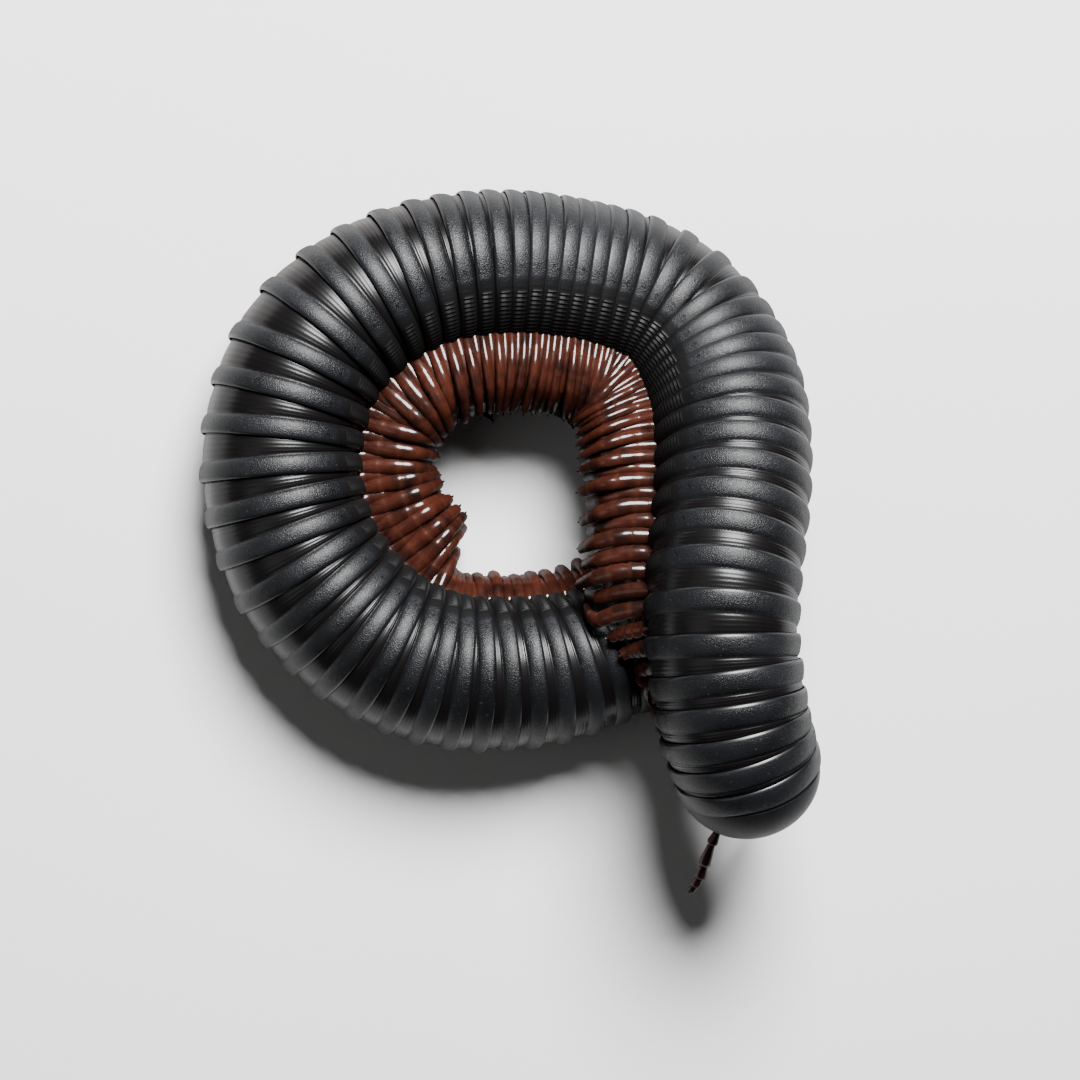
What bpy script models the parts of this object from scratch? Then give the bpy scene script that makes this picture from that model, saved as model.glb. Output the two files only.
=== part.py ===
# Giant African millipede, an adult lying in a loop, life size.
# Its back end tucks under its front end. The head hangs free over the far side of the tail.
# Sizes are in millimetres until a mesh is written, which is in metres. +Z is up.
# The body is numbered from the head: a distance along its middle line grows towards the tail.

import math
import random

import bpy
import numpy as np

MM = 0.001
GAP = 0.35              # between two nodes that meet face to face
CUT_SIZE = 60.0         # half the width of a block that cuts along a plane
CLEAR = 0.7             # between a leg's joints and the body where it passes
FLOOR_CLEAR = 0.35      # legs that lie low stay just off the floor

# Body

# The body's middle line, from the neck over the tail, round the loop and back under itself.
ROUTE = (
    (23.9, -29.0, 24.2), (22.8, -26.2, 25.2), (21.6, -22.5, 26.0), (20.8, -18.3, 26.3),
    (20.2, -13.7, 26.3), (20.2, -8.2, 25.9), (21.1, -1.4, 24.2), (22.3, 5.4, 21.8),
    (22.9, 12.4, 18.9), (22.5, 18.5, 16.0), (20.5, 23.9, 13.2), (16.7, 28.7, 11.0),
    (11.9, 31.4, 10.0), (5.9, 32.9, 9.9), (-0.3, 33.9, 9.9), (-6.4, 34.1, 9.9),
    (-12.8, 33.3, 9.9), (-18.6, 31.5, 10.0), (-23.9, 28.4, 10.0), (-28.3, 24.2, 10.0),
    (-31.1, 18.9, 10.0), (-32.6, 13.0, 10.0), (-32.7, 7.4, 10.0), (-31.6, 1.8, 10.0),
    (-29.4, -3.6, 10.0), (-25.8, -8.3, 9.9), (-21.6, -12.2, 9.9), (-16.3, -15.1, 9.8),
    (-10.2, -16.8, 9.7), (-3.8, -16.9, 9.6), (2.6, -16.2, 9.3), (8.5, -14.5, 8.9),
    (14.5, -11.9, 8.1), (20.0, -9.2, 6.8), (25.1, -6.6, 4.6),
)
MIDDLE = (-4.84, -0.11)    # the middle of the model's box, which becomes the origin

# Half the body's thickness at distances along it.
RADIUS_AT = (
    (0.0, 9.1), (8.0, 9.4), (25.0, 9.6), (45.0, 10.0), (95.0, 10.2), (140.0, 10.15),
    (165.0, 9.9), (178.0, 9.5), (186.0, 9.0), (193.0, 8.0), (199.0, 6.3), (204.0, 4.6),
)
# Where the rear rims of some rings are, by ring number. The rings between are spaced smoothly.
# They are drawn out on the raised front and the left, and pushed together at the top.
RIM_AT = (
    (3, 1.9), (6, 10.3), (9, 22.1), (13, 38.1), (17, 50.2), (21, 60.2), (24, 69.8),
    (27, 76.3), (34, 90.6), (39, 107.1), (42, 120.6), (48, 145.8), (53, 162.8),
    (57, 174.6), (60, 184.1), (64, 194.5), (68, 202.0),
)
FIRST_RING = 3
LAST_RING = 68
NECK_AT = 0.9           # where the first whole ring begins
ROUNDING = 1.01         # the loops are many-sided, so their corners stand out a little
# How far the back leans out of upright towards the outside of the loop, in degrees.
LEAN_AT = (
    (0.0, 12.0), (11.0, 27.0), (22.0, 45.0), (36.0, 53.0), (50.0, 72.0), (62.0, 92.0),
    (75.0, 99.0), (95.0, 92.0), (107.0, 80.0), (125.0, 67.0), (147.0, 61.0), (204.0, 60.0),
)
SIDES = 16
BAND = 2.5              # length of a ring's raised rear band
BAND_SHARE = 0.62       # at most this share of what a ring shows
RIM_STEP = 0.06         # from a ring's rim to where the next ring's narrow front starts
NECK_OF_RING = 0.945    # a ring's narrow front part, as a share of the band
BAND_FRONT = 0.975      # the front edge of the band

# The body is parted into lengths, each ending on the rim of the ring named.
LENGTH_ENDS = (8, 13, 17, 22, 28, 34, 38, 42, 46, 51, 57, 68)

# Legs

LEG_BONES = (3.5, 3.3, 4.2, 3.2)
LEG_HALF_THICK = (0.85, 0.72, 0.66, 0.56, 0.16)
LEG_ROOT = 0.80         # how deep a leg's root is sunk, as a share of the body's radius
LEG_BASE_ANGLE = 153.0  # from the middle of the back, in degrees
LEG_SPACING = 2.9       # rings nearer than this share a leg pair
FIRST_LEG_RING = 4
LAST_LEG_RING = 64
LEG_VARIATION = 3.0     # degrees
END_MARGIN = 1.8        # how near the end of a body length a leg may grow
SEED = 7
# The slope in degrees of each leg bone above level, on the upper side, at distances along the
# body, and the sweep towards the head.
UPPER_LEGS = (
    (0.0, (-85, -98, -100, -92), 0), (8.0, (-92, -102, -104, -94), 0),
    (12.0, (-80, -98, -102, -94), 8), (16.0, (-40, -80, -96, -94), 30),
    (20.0, (-10, -55, -80, -98), 42), (24.0, (-2, -42, -74, -90), 38),
    (29.0, (5, -36, -74, -88), 30), (36.0, (10, -30, -70, -86), 28),
    (50.0, (22, -12, -52, -78), 16), (70.0, (15, -14, -52, -78), 0),
    (100.0, (18, -10, -50, -78), 0), (125.0, (26, -6, -50, -76), 0),
    (145.0, (22, -6, -46, -72), -4), (154.0, (14, -16, -52, -75), -12),
    (162.0, (-48, -88, -118, -150), -6), (204.0, (-48, -88, -118, -150), -6),
)
LOWER_LEGS = (
    (0.0, (-92, -85, -88, -90), 0), (14.0, (-92, -80, -82, -85), 10),
    (20.0, (-50, -70, -88, -98), 40), (24.0, (-20, -55, -85, -95), 40),
    (30.0, (-60, -62, -70, -80), 24), (36.0, (-80, -62, -62, -75), 20),
    (50.0, (-55, -48, -50, -50), 12), (70.0, (-60, -65, -55, -50), 22),
    (100.0, (-45, -48, -42, -40), 16), (125.0, (-8, -2, 0, -5), 8),
    (145.0, (-6, 5, -5, -15), 8), (158.0, (20, 62, -30, -80), 0),
    (204.0, (20, 62, -30, -80), 0),
)

# Head

SECOND_RING_TURN = (0.0, 11.0)      # degrees about the neck that the second ring takes up
COLLUM_TURN = (11.0, 88.0)          # the same for the collum, the shield over the head
SHIELD_RADIUS = ((0.0, 9.0), (11.0, 9.05), (11.5, 8.7), (40.0, 8.8), (70.0, 8.2), (88.0, 7.6))
SHIELD_EDGE_ANGLE = 86.0            # how far down each side the shields reach
HINGE_GROOVE = 0.8                  # what the shields leave free round the neck's hinge
LOBE_OUTER_HALF = (8.75, 8.2, 11.5)  # the collum's side lobes lie on this egg shape
LOBE_INNER_HALF = (7.95, 7.4, 10.7)
LOBE_AT = (1.4, -1.6)               # middle of a lobe's oval outline, ahead and up
LOBE_HALF = (2.1, 4.6)
LOBE_SIDES = 20
MOUTH_AT = (0.0, 3.0, -11.7)        # the slit between the lip and the jaws
MOUTH_HALF = (3.7, 0.42, 1.7)
LIP_NOTCH_AT = (0.0, 5.6, -12.0)
LIP_NOTCH_HALF = (0.8, 1.4, 0.9)
CRANIUM_HALF = (6.3, 5.0, 7.0)      # half the width, depth and height
CRANIUM_AT = (0.0, 2.2, -3.6)
# Bulges on the head: name, place, half sizes and how many faces around and along.
HEAD_BULGES = (
    ("brow", (0.0, 4.2, -6.6), (4.6, 3.0, 4.0), 16, 10),
    ("lip", (0.0, 4.6, -9.6), (3.6, 1.7, 2.2), 16, 8),
    ("chin_plate", (0.0, 0.6, -8.8), (3.4, 1.5, 3.6), 14, 10),
    ("jaw_base_right", (4.0, 2.4, -8.0), (2.3, 2.8, 3.3), 14, 10),
    ("jaw_base_left", (-4.0, 2.4, -8.0), (2.3, 2.8, 3.3), 14, 10),
)
EYE_AT = (5.3, 4.8, -2.6)
EYE_HALF = (0.95, 1.7)
EYE_BULGE = 0.45                    # how far an eye stands out of the head
ANTENNA_ROOT = (3.9, 6.6, -3.9)
ANTENNA_BONES = (1.0, 2.1, 2.0, 2.0, 1.9, 1.9, 0.7)
ANTENNA_HALF_THICK = (0.62, 0.66, 0.70, 0.74, 0.78, 0.84, 0.52)
# The antenna's slope above level, and its turn outwards from straight ahead, bone by bone.
RIGHT_ANTENNA = ((-20, -25, -32, -38, -42, -45, -50), (45, 42, 34, 30, 40, 48, 60))
LEFT_ANTENNA = ((-40, -60, -75, -85, -80, -75, -70), (30, 30, 40, 60, 70, 80, 80))

# Rear end

TELSON_LOOPS = ((0.2, 4.3), (1.6, 4.25), (3.0, 3.9), (4.2, 3.1), (5.0, 1.9))   # distance, radius
VALVE_HALF = (1.6, 2.6, 2.9)
VALVE_AT = (1.25, 3.6, -0.4)        # to the side, tailward and up


def remove_everything():
    """Empty the scene before modelling."""
    for old in list(bpy.data.objects):
        bpy.data.objects.remove(old, do_unlink=True)


def finish(name, colour, roughness, metallic=0.0):
    """A material for one node."""
    made = bpy.data.materials.new(name)
    made.use_nodes = True
    shader = made.node_tree.nodes["Principled BSDF"]
    shader.inputs["Base Color"].default_value = (*colour, 1.0)
    shader.inputs["Roughness"].default_value = roughness
    shader.inputs["Metallic"].default_value = metallic
    return made


# Curves through a few points

class Curve:
    """A natural cubic curve through values at increasing distances."""

    def __init__(self, distances, values):
        self.x = np.array(distances, float)
        self.y = np.array(values, float)
        if self.y.ndim == 1:
            self.y = self.y[:, None]
        count = len(self.x)
        step = np.diff(self.x)
        matrix = np.eye(count)
        right = np.zeros_like(self.y)
        for i in range(1, count - 1):
            matrix[i, i - 1] = step[i - 1]
            matrix[i, i] = 2.0 * (step[i - 1] + step[i])
            matrix[i, i + 1] = step[i]
            rise = (self.y[i + 1] - self.y[i]) / step[i]
            rise_before = (self.y[i] - self.y[i - 1]) / step[i - 1]
            right[i] = 6.0 * (rise - rise_before)
        self.bend = np.linalg.solve(matrix, right)

    def at(self, distance):
        i = int(np.clip(np.searchsorted(self.x, distance) - 1, 0, len(self.x) - 2))
        step = self.x[i + 1] - self.x[i]
        a = (self.x[i + 1] - distance) / step
        b = 1.0 - a
        near = a * self.y[i] + b * self.y[i + 1]
        return near + ((a ** 3 - a) * self.bend[i] + (b ** 3 - b) * self.bend[i + 1]) * step ** 2 / 6.0


def in_steps(table, distance):
    """A value read on straight lines between the entries of a table."""
    places = [row[0] for row in table]
    rows = np.array([np.ravel(row[1]) for row in table], float)
    return np.array([np.interp(distance, places, rows[:, k]) for k in range(rows.shape[1])])


def unit(vector):
    return vector / np.linalg.norm(vector)


def rotated(vector, axis, degrees):
    """The vector turned about an axis."""
    angle = math.radians(degrees)
    axis = unit(axis)
    return (vector * math.cos(angle) + np.cross(axis, vector) * math.sin(angle)
            + axis * np.dot(axis, vector) * (1.0 - math.cos(angle)))


def body_line():
    """The middle line as a curve by distance, with the origin under the model's middle."""
    points = np.array(ROUTE, float)
    points[:, 0] -= MIDDLE[0]
    points[:, 1] -= MIDDLE[1]
    steps = np.linalg.norm(np.diff(points, axis=0), axis=1)
    distances = np.concatenate([[0.0], np.cumsum(steps)])
    return Curve(distances, points)


LINE = body_line()
RADIUS = Curve([row[0] for row in RADIUS_AT], [row[1] for row in RADIUS_AT])
RIMS = Curve([row[0] for row in RIM_AT], [row[1] for row in RIM_AT])
UP = np.array((0.0, 0.0, 1.0))


def radius(distance):
    return float(RADIUS.at(distance)[0])


def rim(ring):
    """The distance of a ring's rear rim."""
    return float(RIMS.at(ring)[0])


def frame(distance):
    """Centre, direction to the tail, outward, upward, back and right-hand directions."""
    centre = LINE.at(distance)
    tailward = unit(LINE.at(distance + 0.05) - LINE.at(distance - 0.05))
    outward = unit(np.cross(tailward, UP))
    upward = np.cross(outward, tailward)
    lean = math.radians(in_steps(LEAN_AT, distance)[0])
    back = math.cos(lean) * upward + math.sin(lean) * outward
    return centre, tailward, outward, upward, back, np.cross(back, tailward)


# Meshes

def add_object(name, points, faces, material=None):
    """An object from points in millimetres and faces."""
    mesh = bpy.data.meshes.new(name)
    mesh.from_pydata([tuple(float(v) * MM for v in p) for p in points], [], faces)
    mesh.validate()
    thing = bpy.data.objects.new(name, mesh)
    bpy.context.scene.collection.objects.link(thing)
    if material:
        mesh.materials.append(material)
    return thing


def loft(name, loops, material=None):
    """A closed body through loops of as many points each, with flat ends."""
    count = len(loops[0])
    points = [p for loop in loops for p in loop]
    faces = []
    for i in range(len(loops) - 1):
        a = i * count
        b = a + count
        for k in range(count):
            n = (k + 1) % count
            faces.append((a + k, a + n, b + n, b + k))
    faces.append(tuple(reversed(range(count))))
    last = (len(loops) - 1) * count
    faces.append(tuple(last + k for k in range(count)))
    thing = add_object(name, points, faces, material)
    face_out(thing)
    return thing


def face_out(thing):
    """Turn a closed mesh's faces outwards by the sign of its volume."""
    mesh = thing.data
    mesh.calc_loop_triangles()
    volume = 0.0
    for triangle in mesh.loop_triangles:
        a, b, c = (mesh.vertices[i].co for i in triangle.vertices)
        volume += a.dot(b.cross(c))
    if volume < 0:
        mesh.flip_normals()


def ellipsoid(name, centre, half, axes, around=20, rings=12):
    """A closed egg shape, with its half sizes along three axes."""
    bpy.ops.mesh.primitive_uv_sphere_add(segments=around, ring_count=rings, radius=1.0)
    ball = bpy.context.active_object
    points = []
    for vertex in ball.data.vertices:
        p = np.array(centre, float)
        for k in range(3):
            p = p + axes[k] * half[k] * vertex.co[k]
        points.append(p)
    faces = [tuple(polygon.vertices) for polygon in ball.data.polygons]
    bpy.data.objects.remove(ball, do_unlink=True)
    thing = add_object(name, points, faces)
    face_out(thing)
    return thing


def apply_boolean(base, operation, others, solver="EXACT"):
    """Join or cut a body with others, then remove those."""
    group = bpy.data.collections.new(base.name + "_with")
    for other in others:
        group.objects.link(other)
    modifier = base.modifiers.new("boolean", "BOOLEAN")
    modifier.operation = operation
    modifier.operand_type = "COLLECTION"
    modifier.collection = group
    modifier.solver = solver
    bpy.context.view_layer.update()
    evaluated = base.evaluated_get(bpy.context.evaluated_depsgraph_get())
    mesh = bpy.data.meshes.new_from_object(evaluated)
    base.modifiers.clear()
    base.data = mesh
    for other in others:
        bpy.data.objects.remove(other, do_unlink=True)
    bpy.data.collections.remove(group)
    return keep_largest(base)


def keep_largest(thing):
    """Keep only the largest closed surface of a mesh, told apart by faces that share edges."""
    mesh = thing.data
    parent = list(range(len(mesh.polygons)))

    def root(i):
        while parent[i] != i:
            parent[i] = parent[parent[i]]
            i = parent[i]
        return i

    first_face = {}
    for polygon in mesh.polygons:
        for key in polygon.edge_keys:
            if key in first_face:
                parent[root(polygon.index)] = root(first_face[key])
            else:
                first_face[key] = polygon.index
    sizes = {}
    mesh.calc_loop_triangles()
    for triangle in mesh.loop_triangles:
        a, b, c = (mesh.vertices[i].co for i in triangle.vertices)
        group = root(triangle.polygon_index)
        sizes[group] = sizes.get(group, 0.0) + a.dot(b.cross(c))
    if len(sizes) < 2:
        return thing
    best = max(sizes, key=lambda group: sizes[group])
    keep = [polygon for polygon in mesh.polygons if root(polygon.index) == best]
    used = sorted({i for polygon in keep for i in polygon.vertices})
    place = {old: new for new, old in enumerate(used)}
    new_mesh = bpy.data.meshes.new(mesh.name + "_kept")
    new_mesh.from_pydata(
        [tuple(mesh.vertices[i].co) for i in used], [],
        [tuple(place[i] for i in polygon.vertices) for polygon in keep])
    for material in mesh.materials:
        new_mesh.materials.append(material)
    thing.data = new_mesh
    return thing


# The body's lengths

def body_loop(distance, size):
    """One ring-shaped loop round the body, pressed flat where it meets the floor."""
    centre, _, _, _, back, right = frame(distance)
    loop = []
    for k in range(SIDES):
        angle = 2.0 * math.pi * (k + 0.5) / SIDES
        point = centre + size * (math.cos(angle) * back + math.sin(angle) * right)
        point[2] = max(point[2], 0.0)
        loop.append(point)
    return loop


def trunk_loops(first, last):
    """Loops for a run of rings: a narrow front, then a band that widens to its rear rim."""
    loops = []
    for ring in range(first, last + 1):
        start = rim(ring - 1) if ring > FIRST_RING else NECK_AT
        end = rim(ring)
        is_first = ring == first
        is_last = ring == last
        full = radius(end) * ROUNDING
        band = min(BAND, BAND_SHARE * (end - start))
        front = start + (GAP / 2 if is_first else RIM_STEP)
        loops.append(body_loop(front, full * NECK_OF_RING))
        loops.append(body_loop(end - band, full * BAND_FRONT))
        loops.append(body_loop(end - (GAP / 2 if is_last else 0.0), full))
    return loops


SAMPLE_STEP = 0.75
SAMPLE_DISTANCES = np.arange(0.0, 203.5, SAMPLE_STEP)
SAMPLE_POINTS = np.array([LINE.at(d) for d in SAMPLE_DISTANCES])
SAMPLE_DIRECTIONS = np.array([frame(d)[1] for d in SAMPLE_DISTANCES])
SAMPLE_RADII = np.array([radius(d) for d in SAMPLE_DISTANCES])
OWN_REACH = 32.0        # a leg isn't pushed out of the body this near its own root
CORNERS = 1.28          # how far a square leg's corners reach, next to its half thickness
SHORTEST_BONE = 0.55
SHARPEST_BEND = 100.0   # degrees
SWEEPS_TRIED = (0.0, 3.0, -3.0, 6.0, -6.0, 10.0, -10.0, 15.0, -15.0)
LIFTS_TRIED = (0.0, 12.0, 24.0, 36.0, 48.0, 60.0, 72.0)


def pushed_clear(point, own_distance, thick):
    """Move a leg's point out of the floor and out of the body where it passes by."""
    point = np.array(point, float)
    for _ in range(3):
        away = point - SAMPLE_POINTS
        depth = SAMPLE_RADII + CLEAR + thick * CORNERS - np.linalg.norm(away, axis=1)
        depth[np.abs(SAMPLE_DISTANCES - own_distance) < OWN_REACH] = -1.0
        worst = int(np.argmax(depth))
        if depth[worst] > 0:
            point = point + unit(away[worst]) * depth[worst]
        point[2] = max(point[2], FLOOR_CLEAR + thick)
    return point


def leg_points(distance, side, table, jitter, extra_sweep):
    """A leg's points from its sunk root to its tip. side is 1 for the animal's right."""
    centre, _, outward, _, back, right = frame(distance)
    size = radius(distance)
    angle = math.radians(LEG_BASE_ANGLE)
    base = math.cos(angle) * back + side * math.sin(angle) * right
    slopes = in_steps([(row[0], row[1]) for row in table], distance) + jitter
    sweep = in_steps([(row[0], (row[2],)) for row in table], distance)[0] + extra_sweep
    inward = rotated(unit(np.array((-outward[0], -outward[1], 0.0))), UP, sweep)
    points = [centre + base * size * LEG_ROOT]
    here = centre + base * size * 0.98
    for bone, slope in zip(LEG_BONES, slopes):
        a = math.radians(slope)
        here = here + bone * (math.cos(a) * inward + math.sin(a) * UP)
        here = pushed_clear(here, distance, LEG_HALF_THICK[len(points)])
        points.append(here)
    return points, unit(np.cross(inward, UP))


def along_leg(points):
    """Points close together down a leg, each with the leg's half thickness there."""
    places = []
    sizes = []
    for k in range(len(points) - 1):
        for share in np.linspace(0.0, 1.0, 6)[:-1]:
            places.append(points[k] * (1.0 - share) + points[k + 1] * share)
            sizes.append(LEG_HALF_THICK[k] * (1.0 - share) + LEG_HALF_THICK[k + 1] * share)
    places.append(points[-1])
    sizes.append(LEG_HALF_THICK[-1])
    return np.array(places), np.array(sizes)


def is_clear(places, sizes, others, span):
    """Whether a leg stays off the other lengths of the body and their legs."""
    start, end = span
    body = (SAMPLE_DISTANCES < start - GAP) | (SAMPLE_DISTANCES > end + GAP)
    thick = sizes[:, None] * CORNERS
    away = places[:, None] - SAMPLE_POINTS[None, body]
    along = np.abs(np.sum(away * SAMPLE_DIRECTIONS[None, body], axis=2))
    across = np.sqrt(np.maximum(np.sum(away * away, axis=2) - along ** 2, 0.0))
    beside = along < SAMPLE_STEP / 2 + thick
    if np.any(beside & (across < SAMPLE_RADII[None, body] + thick + GAP)):
        return False
    if others:
        other_places = np.concatenate([row[0] for row in others])
        other_sizes = np.concatenate([row[1] for row in others])
        gaps = np.linalg.norm(places[:, None] - other_places[None], axis=2)
        if np.any(gaps < (sizes[:, None] + other_sizes[None]) * CORNERS + GAP):
            return False
    return True


def is_sound(points):
    """Whether a leg's bones kept their length and none folds back on the one before."""
    bones = [after - before for before, after in zip(points[1:], points[2:])]
    for bone, full in zip(bones, LEG_BONES[1:]):
        if np.linalg.norm(bone) < SHORTEST_BONE * full:
            return False
    bends = [np.dot(unit(before), unit(after)) for before, after in zip(bones, bones[1:])]
    return min(bends) > math.cos(math.radians(SHARPEST_BEND))


def leg(points, side_axis):
    """A square, tapering leg bent at its joints."""
    loops = []
    for k, point in enumerate(points):
        before = points[max(k - 1, 0)]
        after = points[min(k + 1, len(points) - 1)]
        along = unit(after - before)
        across = unit(side_axis - along * np.dot(side_axis, along))
        over = np.cross(along, across)
        half = LEG_HALF_THICK[k]
        loops.append([point + half * (sx * across + so * over)
                      for sx, so in ((1, 1), (-1, 1), (-1, -1), (1, -1))])
    return loft("leg", loops)


def leg_rings():
    """The rings that carry legs in the solids, spread evenly along the body."""
    chosen = []
    last = -LEG_SPACING
    for ring in range(FIRST_LEG_RING, LAST_LEG_RING + 1):
        place = rim(ring) - 0.5 * BAND
        if place - last >= LEG_SPACING:
            chosen.append(ring)
            last = place
    return chosen


def free_leg(place, side, table, jitter, placed, span):
    """The first pose of a leg, swept or lifted as little as needed, that crosses nothing."""
    for lift in LIFTS_TRIED:
        for extra in SWEEPS_TRIED:
            points, axis = leg_points(place, side, table, jitter + lift, extra)
            along = along_leg(points)
            if is_sound(points) and is_clear(along[0], along[1], placed, span):
                return points, axis, along
    return None


def build_trunk():
    """The lengths of the body, each with its legs joined to it."""
    colour = finish("ring_black", (0.030, 0.027, 0.028), 0.38)
    draw = random.Random(SEED)
    carriers = leg_rings()
    placed = []
    first = FIRST_RING
    for number, last in enumerate(LENGTH_ENDS, start=1):
        trunk = loft("trunk_%d" % number, trunk_loops(first, last), colour)
        span = (rim(first - 1) if number > 1 else NECK_AT, rim(last))
        legs = []
        new = []
        for ring in carriers:
            if not first <= ring <= last:
                continue
            place = min(max(rim(ring) - 0.5 * BAND, span[0] + END_MARGIN), span[1] - END_MARGIN)
            for side, table in ((1, UPPER_LEGS), (-1, LOWER_LEGS)):
                jitter = draw.uniform(-LEG_VARIATION, LEG_VARIATION)
                found = free_leg(place, side, table, jitter, placed, span)
                if found:
                    legs.append(leg(found[0], found[1]))
                    new.append(found[2])
        placed.extend(new)
        if legs:
            apply_boolean(trunk, "UNION", legs)
        first = last + 1


# The neck shields and the head

def shield(name, pivot, across, back, ahead, turn, material):
    """A hood-like shield: half loops turned about the neck's hinge line."""
    loops = []
    steps = max(2, int((turn[1] - turn[0]) / 15.0) + 1)
    arcs = 12
    for i in range(steps + 1):
        angle = turn[0] + (turn[1] - turn[0]) * i / steps
        over = rotated(back, across, angle) if np.dot(rotated(back, across, 1.0), ahead) > 0 \
            else rotated(back, across, -angle)
        size = float(in_steps(SHIELD_RADIUS, angle)[0])
        loop = []
        for k in range(arcs + 1):
            phi = math.radians(-SHIELD_EDGE_ANGLE + 2.0 * SHIELD_EDGE_ANGLE * k / arcs)
            height = max(size * math.cos(phi), HINGE_GROOVE)
            loop.append(pivot + height * over + size * math.sin(phi) * across)
        loops.append(loop)
    return loft(name, loops, material)


def build_head():
    """Second ring, collum, head, eyes and antennae."""
    centre, tailward, _, _, back, right = frame(NECK_AT)
    ahead = -tailward
    black = finish("shield_black", (0.028, 0.025, 0.026), 0.35)
    face = finish("face_brown", (0.045, 0.026, 0.020), 0.35)
    pivot = centre + GAP * ahead
    shield("second_ring", pivot, right, back, ahead, SECOND_RING_TURN, black)
    turned = SECOND_RING_TURN[1]
    back_1 = back * math.cos(math.radians(turned)) + ahead * math.sin(math.radians(turned))
    ahead_1 = ahead * math.cos(math.radians(turned)) - back * math.sin(math.radians(turned))
    pivot = pivot + GAP * ahead_1
    collum = shield("collum", pivot, right, back, ahead, COLLUM_TURN, black)
    turned = COLLUM_TURN[1]
    lid_out = ahead * math.cos(math.radians(turned)) - back * math.sin(math.radians(turned))
    axes = (right, ahead, back)

    def place(local):
        return pivot + local[0] * right + local[1] * ahead + local[2] * back

    lobes = []
    for side in (1, -1):
        lobe = ellipsoid("lobe", place((0.0, 0.0, 0.0)), LOBE_OUTER_HALF, axes, 32, 20)
        outline = []
        for reach in (4.0, 12.0):
            outline.append([place((side * reach, LOBE_AT[0] + LOBE_HALF[0] * math.cos(a),
                                   LOBE_AT[1] + LOBE_HALF[1] * math.sin(a)))
                            for a in (2.0 * math.pi * k / LOBE_SIDES for k in range(LOBE_SIDES))])
        apply_boolean(lobe, "INTERSECT", [loft("lobe_outline", outline)])
        inner = ellipsoid("lobe_inside", place((0.0, 0.0, 0.0)), LOBE_INNER_HALF, axes, 32, 20)
        lobes.append(apply_boolean(lobe, "DIFFERENCE", [inner]))
    apply_boolean(collum, "UNION", lobes)
    apply_boolean(collum, "DIFFERENCE", [
        half_space("second_ring_side", pivot, ahead_1, right),
        half_space("body_side", centre + 2.0 * GAP * ahead, ahead, right),
    ])

    head = ellipsoid("head", place(CRANIUM_AT), CRANIUM_HALF, axes, 24, 16)
    head.data.materials.append(face)
    apply_boolean(head, "UNION", [ellipsoid(name, place(at), half, axes, around, along)
                                  for name, at, half, around, along in HEAD_BULGES])
    apply_boolean(head, "DIFFERENCE", [
        half_space("under_collum", pivot + GAP * lid_out, lid_out, right),
        half_space("before_body", centre + GAP * ahead, ahead, right),
        ellipsoid("mouth", place(MOUTH_AT), MOUTH_HALF, axes, 16, 8),
        ellipsoid("lip_notch", place(LIP_NOTCH_AT), LIP_NOTCH_HALF, axes, 12, 8),
    ])

    shell = finish("eye_black", (0.010, 0.009, 0.010), 0.12)
    for side, name in ((1, "eye_right"), (-1, "eye_left")):
        grow = tuple(h + GAP + EYE_BULGE for h in CRANIUM_HALF)
        eye = ellipsoid(name, place(CRANIUM_AT), grow, axes, 48, 32)
        eye.data.materials.append(shell)
        at = (EYE_AT[0] * side, EYE_AT[1], EYE_AT[2])
        out = unit(np.array([(at[k] - CRANIUM_AT[k]) / CRANIUM_HALF[k] ** 2 for k in range(3)]))
        out = out[0] * right + out[1] * ahead + out[2] * back
        apply_boolean(eye, "INTERSECT", [oval_post(place(at), out, back, EYE_HALF)])
        core = ellipsoid("eye_bed", place(CRANIUM_AT), tuple(h + GAP for h in CRANIUM_HALF), axes, 48, 32)
        apply_boolean(eye, "DIFFERENCE", [core])

    tube = finish("antenna_red_brown", (0.16, 0.045, 0.026), 0.3)
    for side, name, pose in ((1, "antenna_right", RIGHT_ANTENNA), (-1, "antenna_left", LEFT_ANTENNA)):
        start = place((ANTENNA_ROOT[0] * side, ANTENNA_ROOT[1], ANTENNA_ROOT[2]))
        antenna(name, start, side, right, ahead, pose, tube)


def half_space(name, point, direction, across):
    """A large block behind a plane through a point, for a flat cut."""
    other = np.cross(direction, across)
    loops = []
    for along in (-CUT_SIZE, 0.0):
        loops.append([point + along * direction + CUT_SIZE * (a * across + b * other)
                      for a, b in ((1, 1), (-1, 1), (-1, -1), (1, -1))])
    return loft(name, loops)


def oval_post(centre, out, long_way, half):
    """A short oval post standing out of the head, which cuts an eye's patch."""
    long_axis = unit(long_way - out * np.dot(long_way, out))
    short_axis = np.cross(out, long_axis)
    loops = []
    for along in (-2.0, 3.0):
        middle = centre + along * out
        loops.append([middle + half[0] * math.cos(a) * short_axis + half[1] * math.sin(a) * long_axis
                      for a in (2.0 * math.pi * k / SIDES for k in range(SIDES))])
    return loft("eye_outline", loops)


def antenna(name, start, side, right, ahead, pose, material):
    """A jointed feeler: each bone starts narrow and swells to its far end."""
    level_ahead = unit(np.array((ahead[0], ahead[1], 0.0)))
    loops = []
    here = np.array(start, float)
    sides = 8
    for bone, half, slope, turn in zip(ANTENNA_BONES, ANTENNA_HALF_THICK, pose[0], pose[1]):
        level = rotated(level_ahead, UP, -turn * side)
        a = math.radians(slope)
        along = math.cos(a) * level + math.sin(a) * UP
        across = unit(np.cross(along, UP))
        over = np.cross(across, along)
        for share, swell in ((0.06, 0.62), (0.55, 0.86), (0.90, 1.0)):
            middle = here + along * bone * share
            loops.append([middle + half * swell * (math.cos(q) * across + math.sin(q) * over)
                          for q in (2.0 * math.pi * k / sides for k in range(sides))])
        here = here + along * bone
    return loft(name, loops, material)


# The rear end

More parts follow.
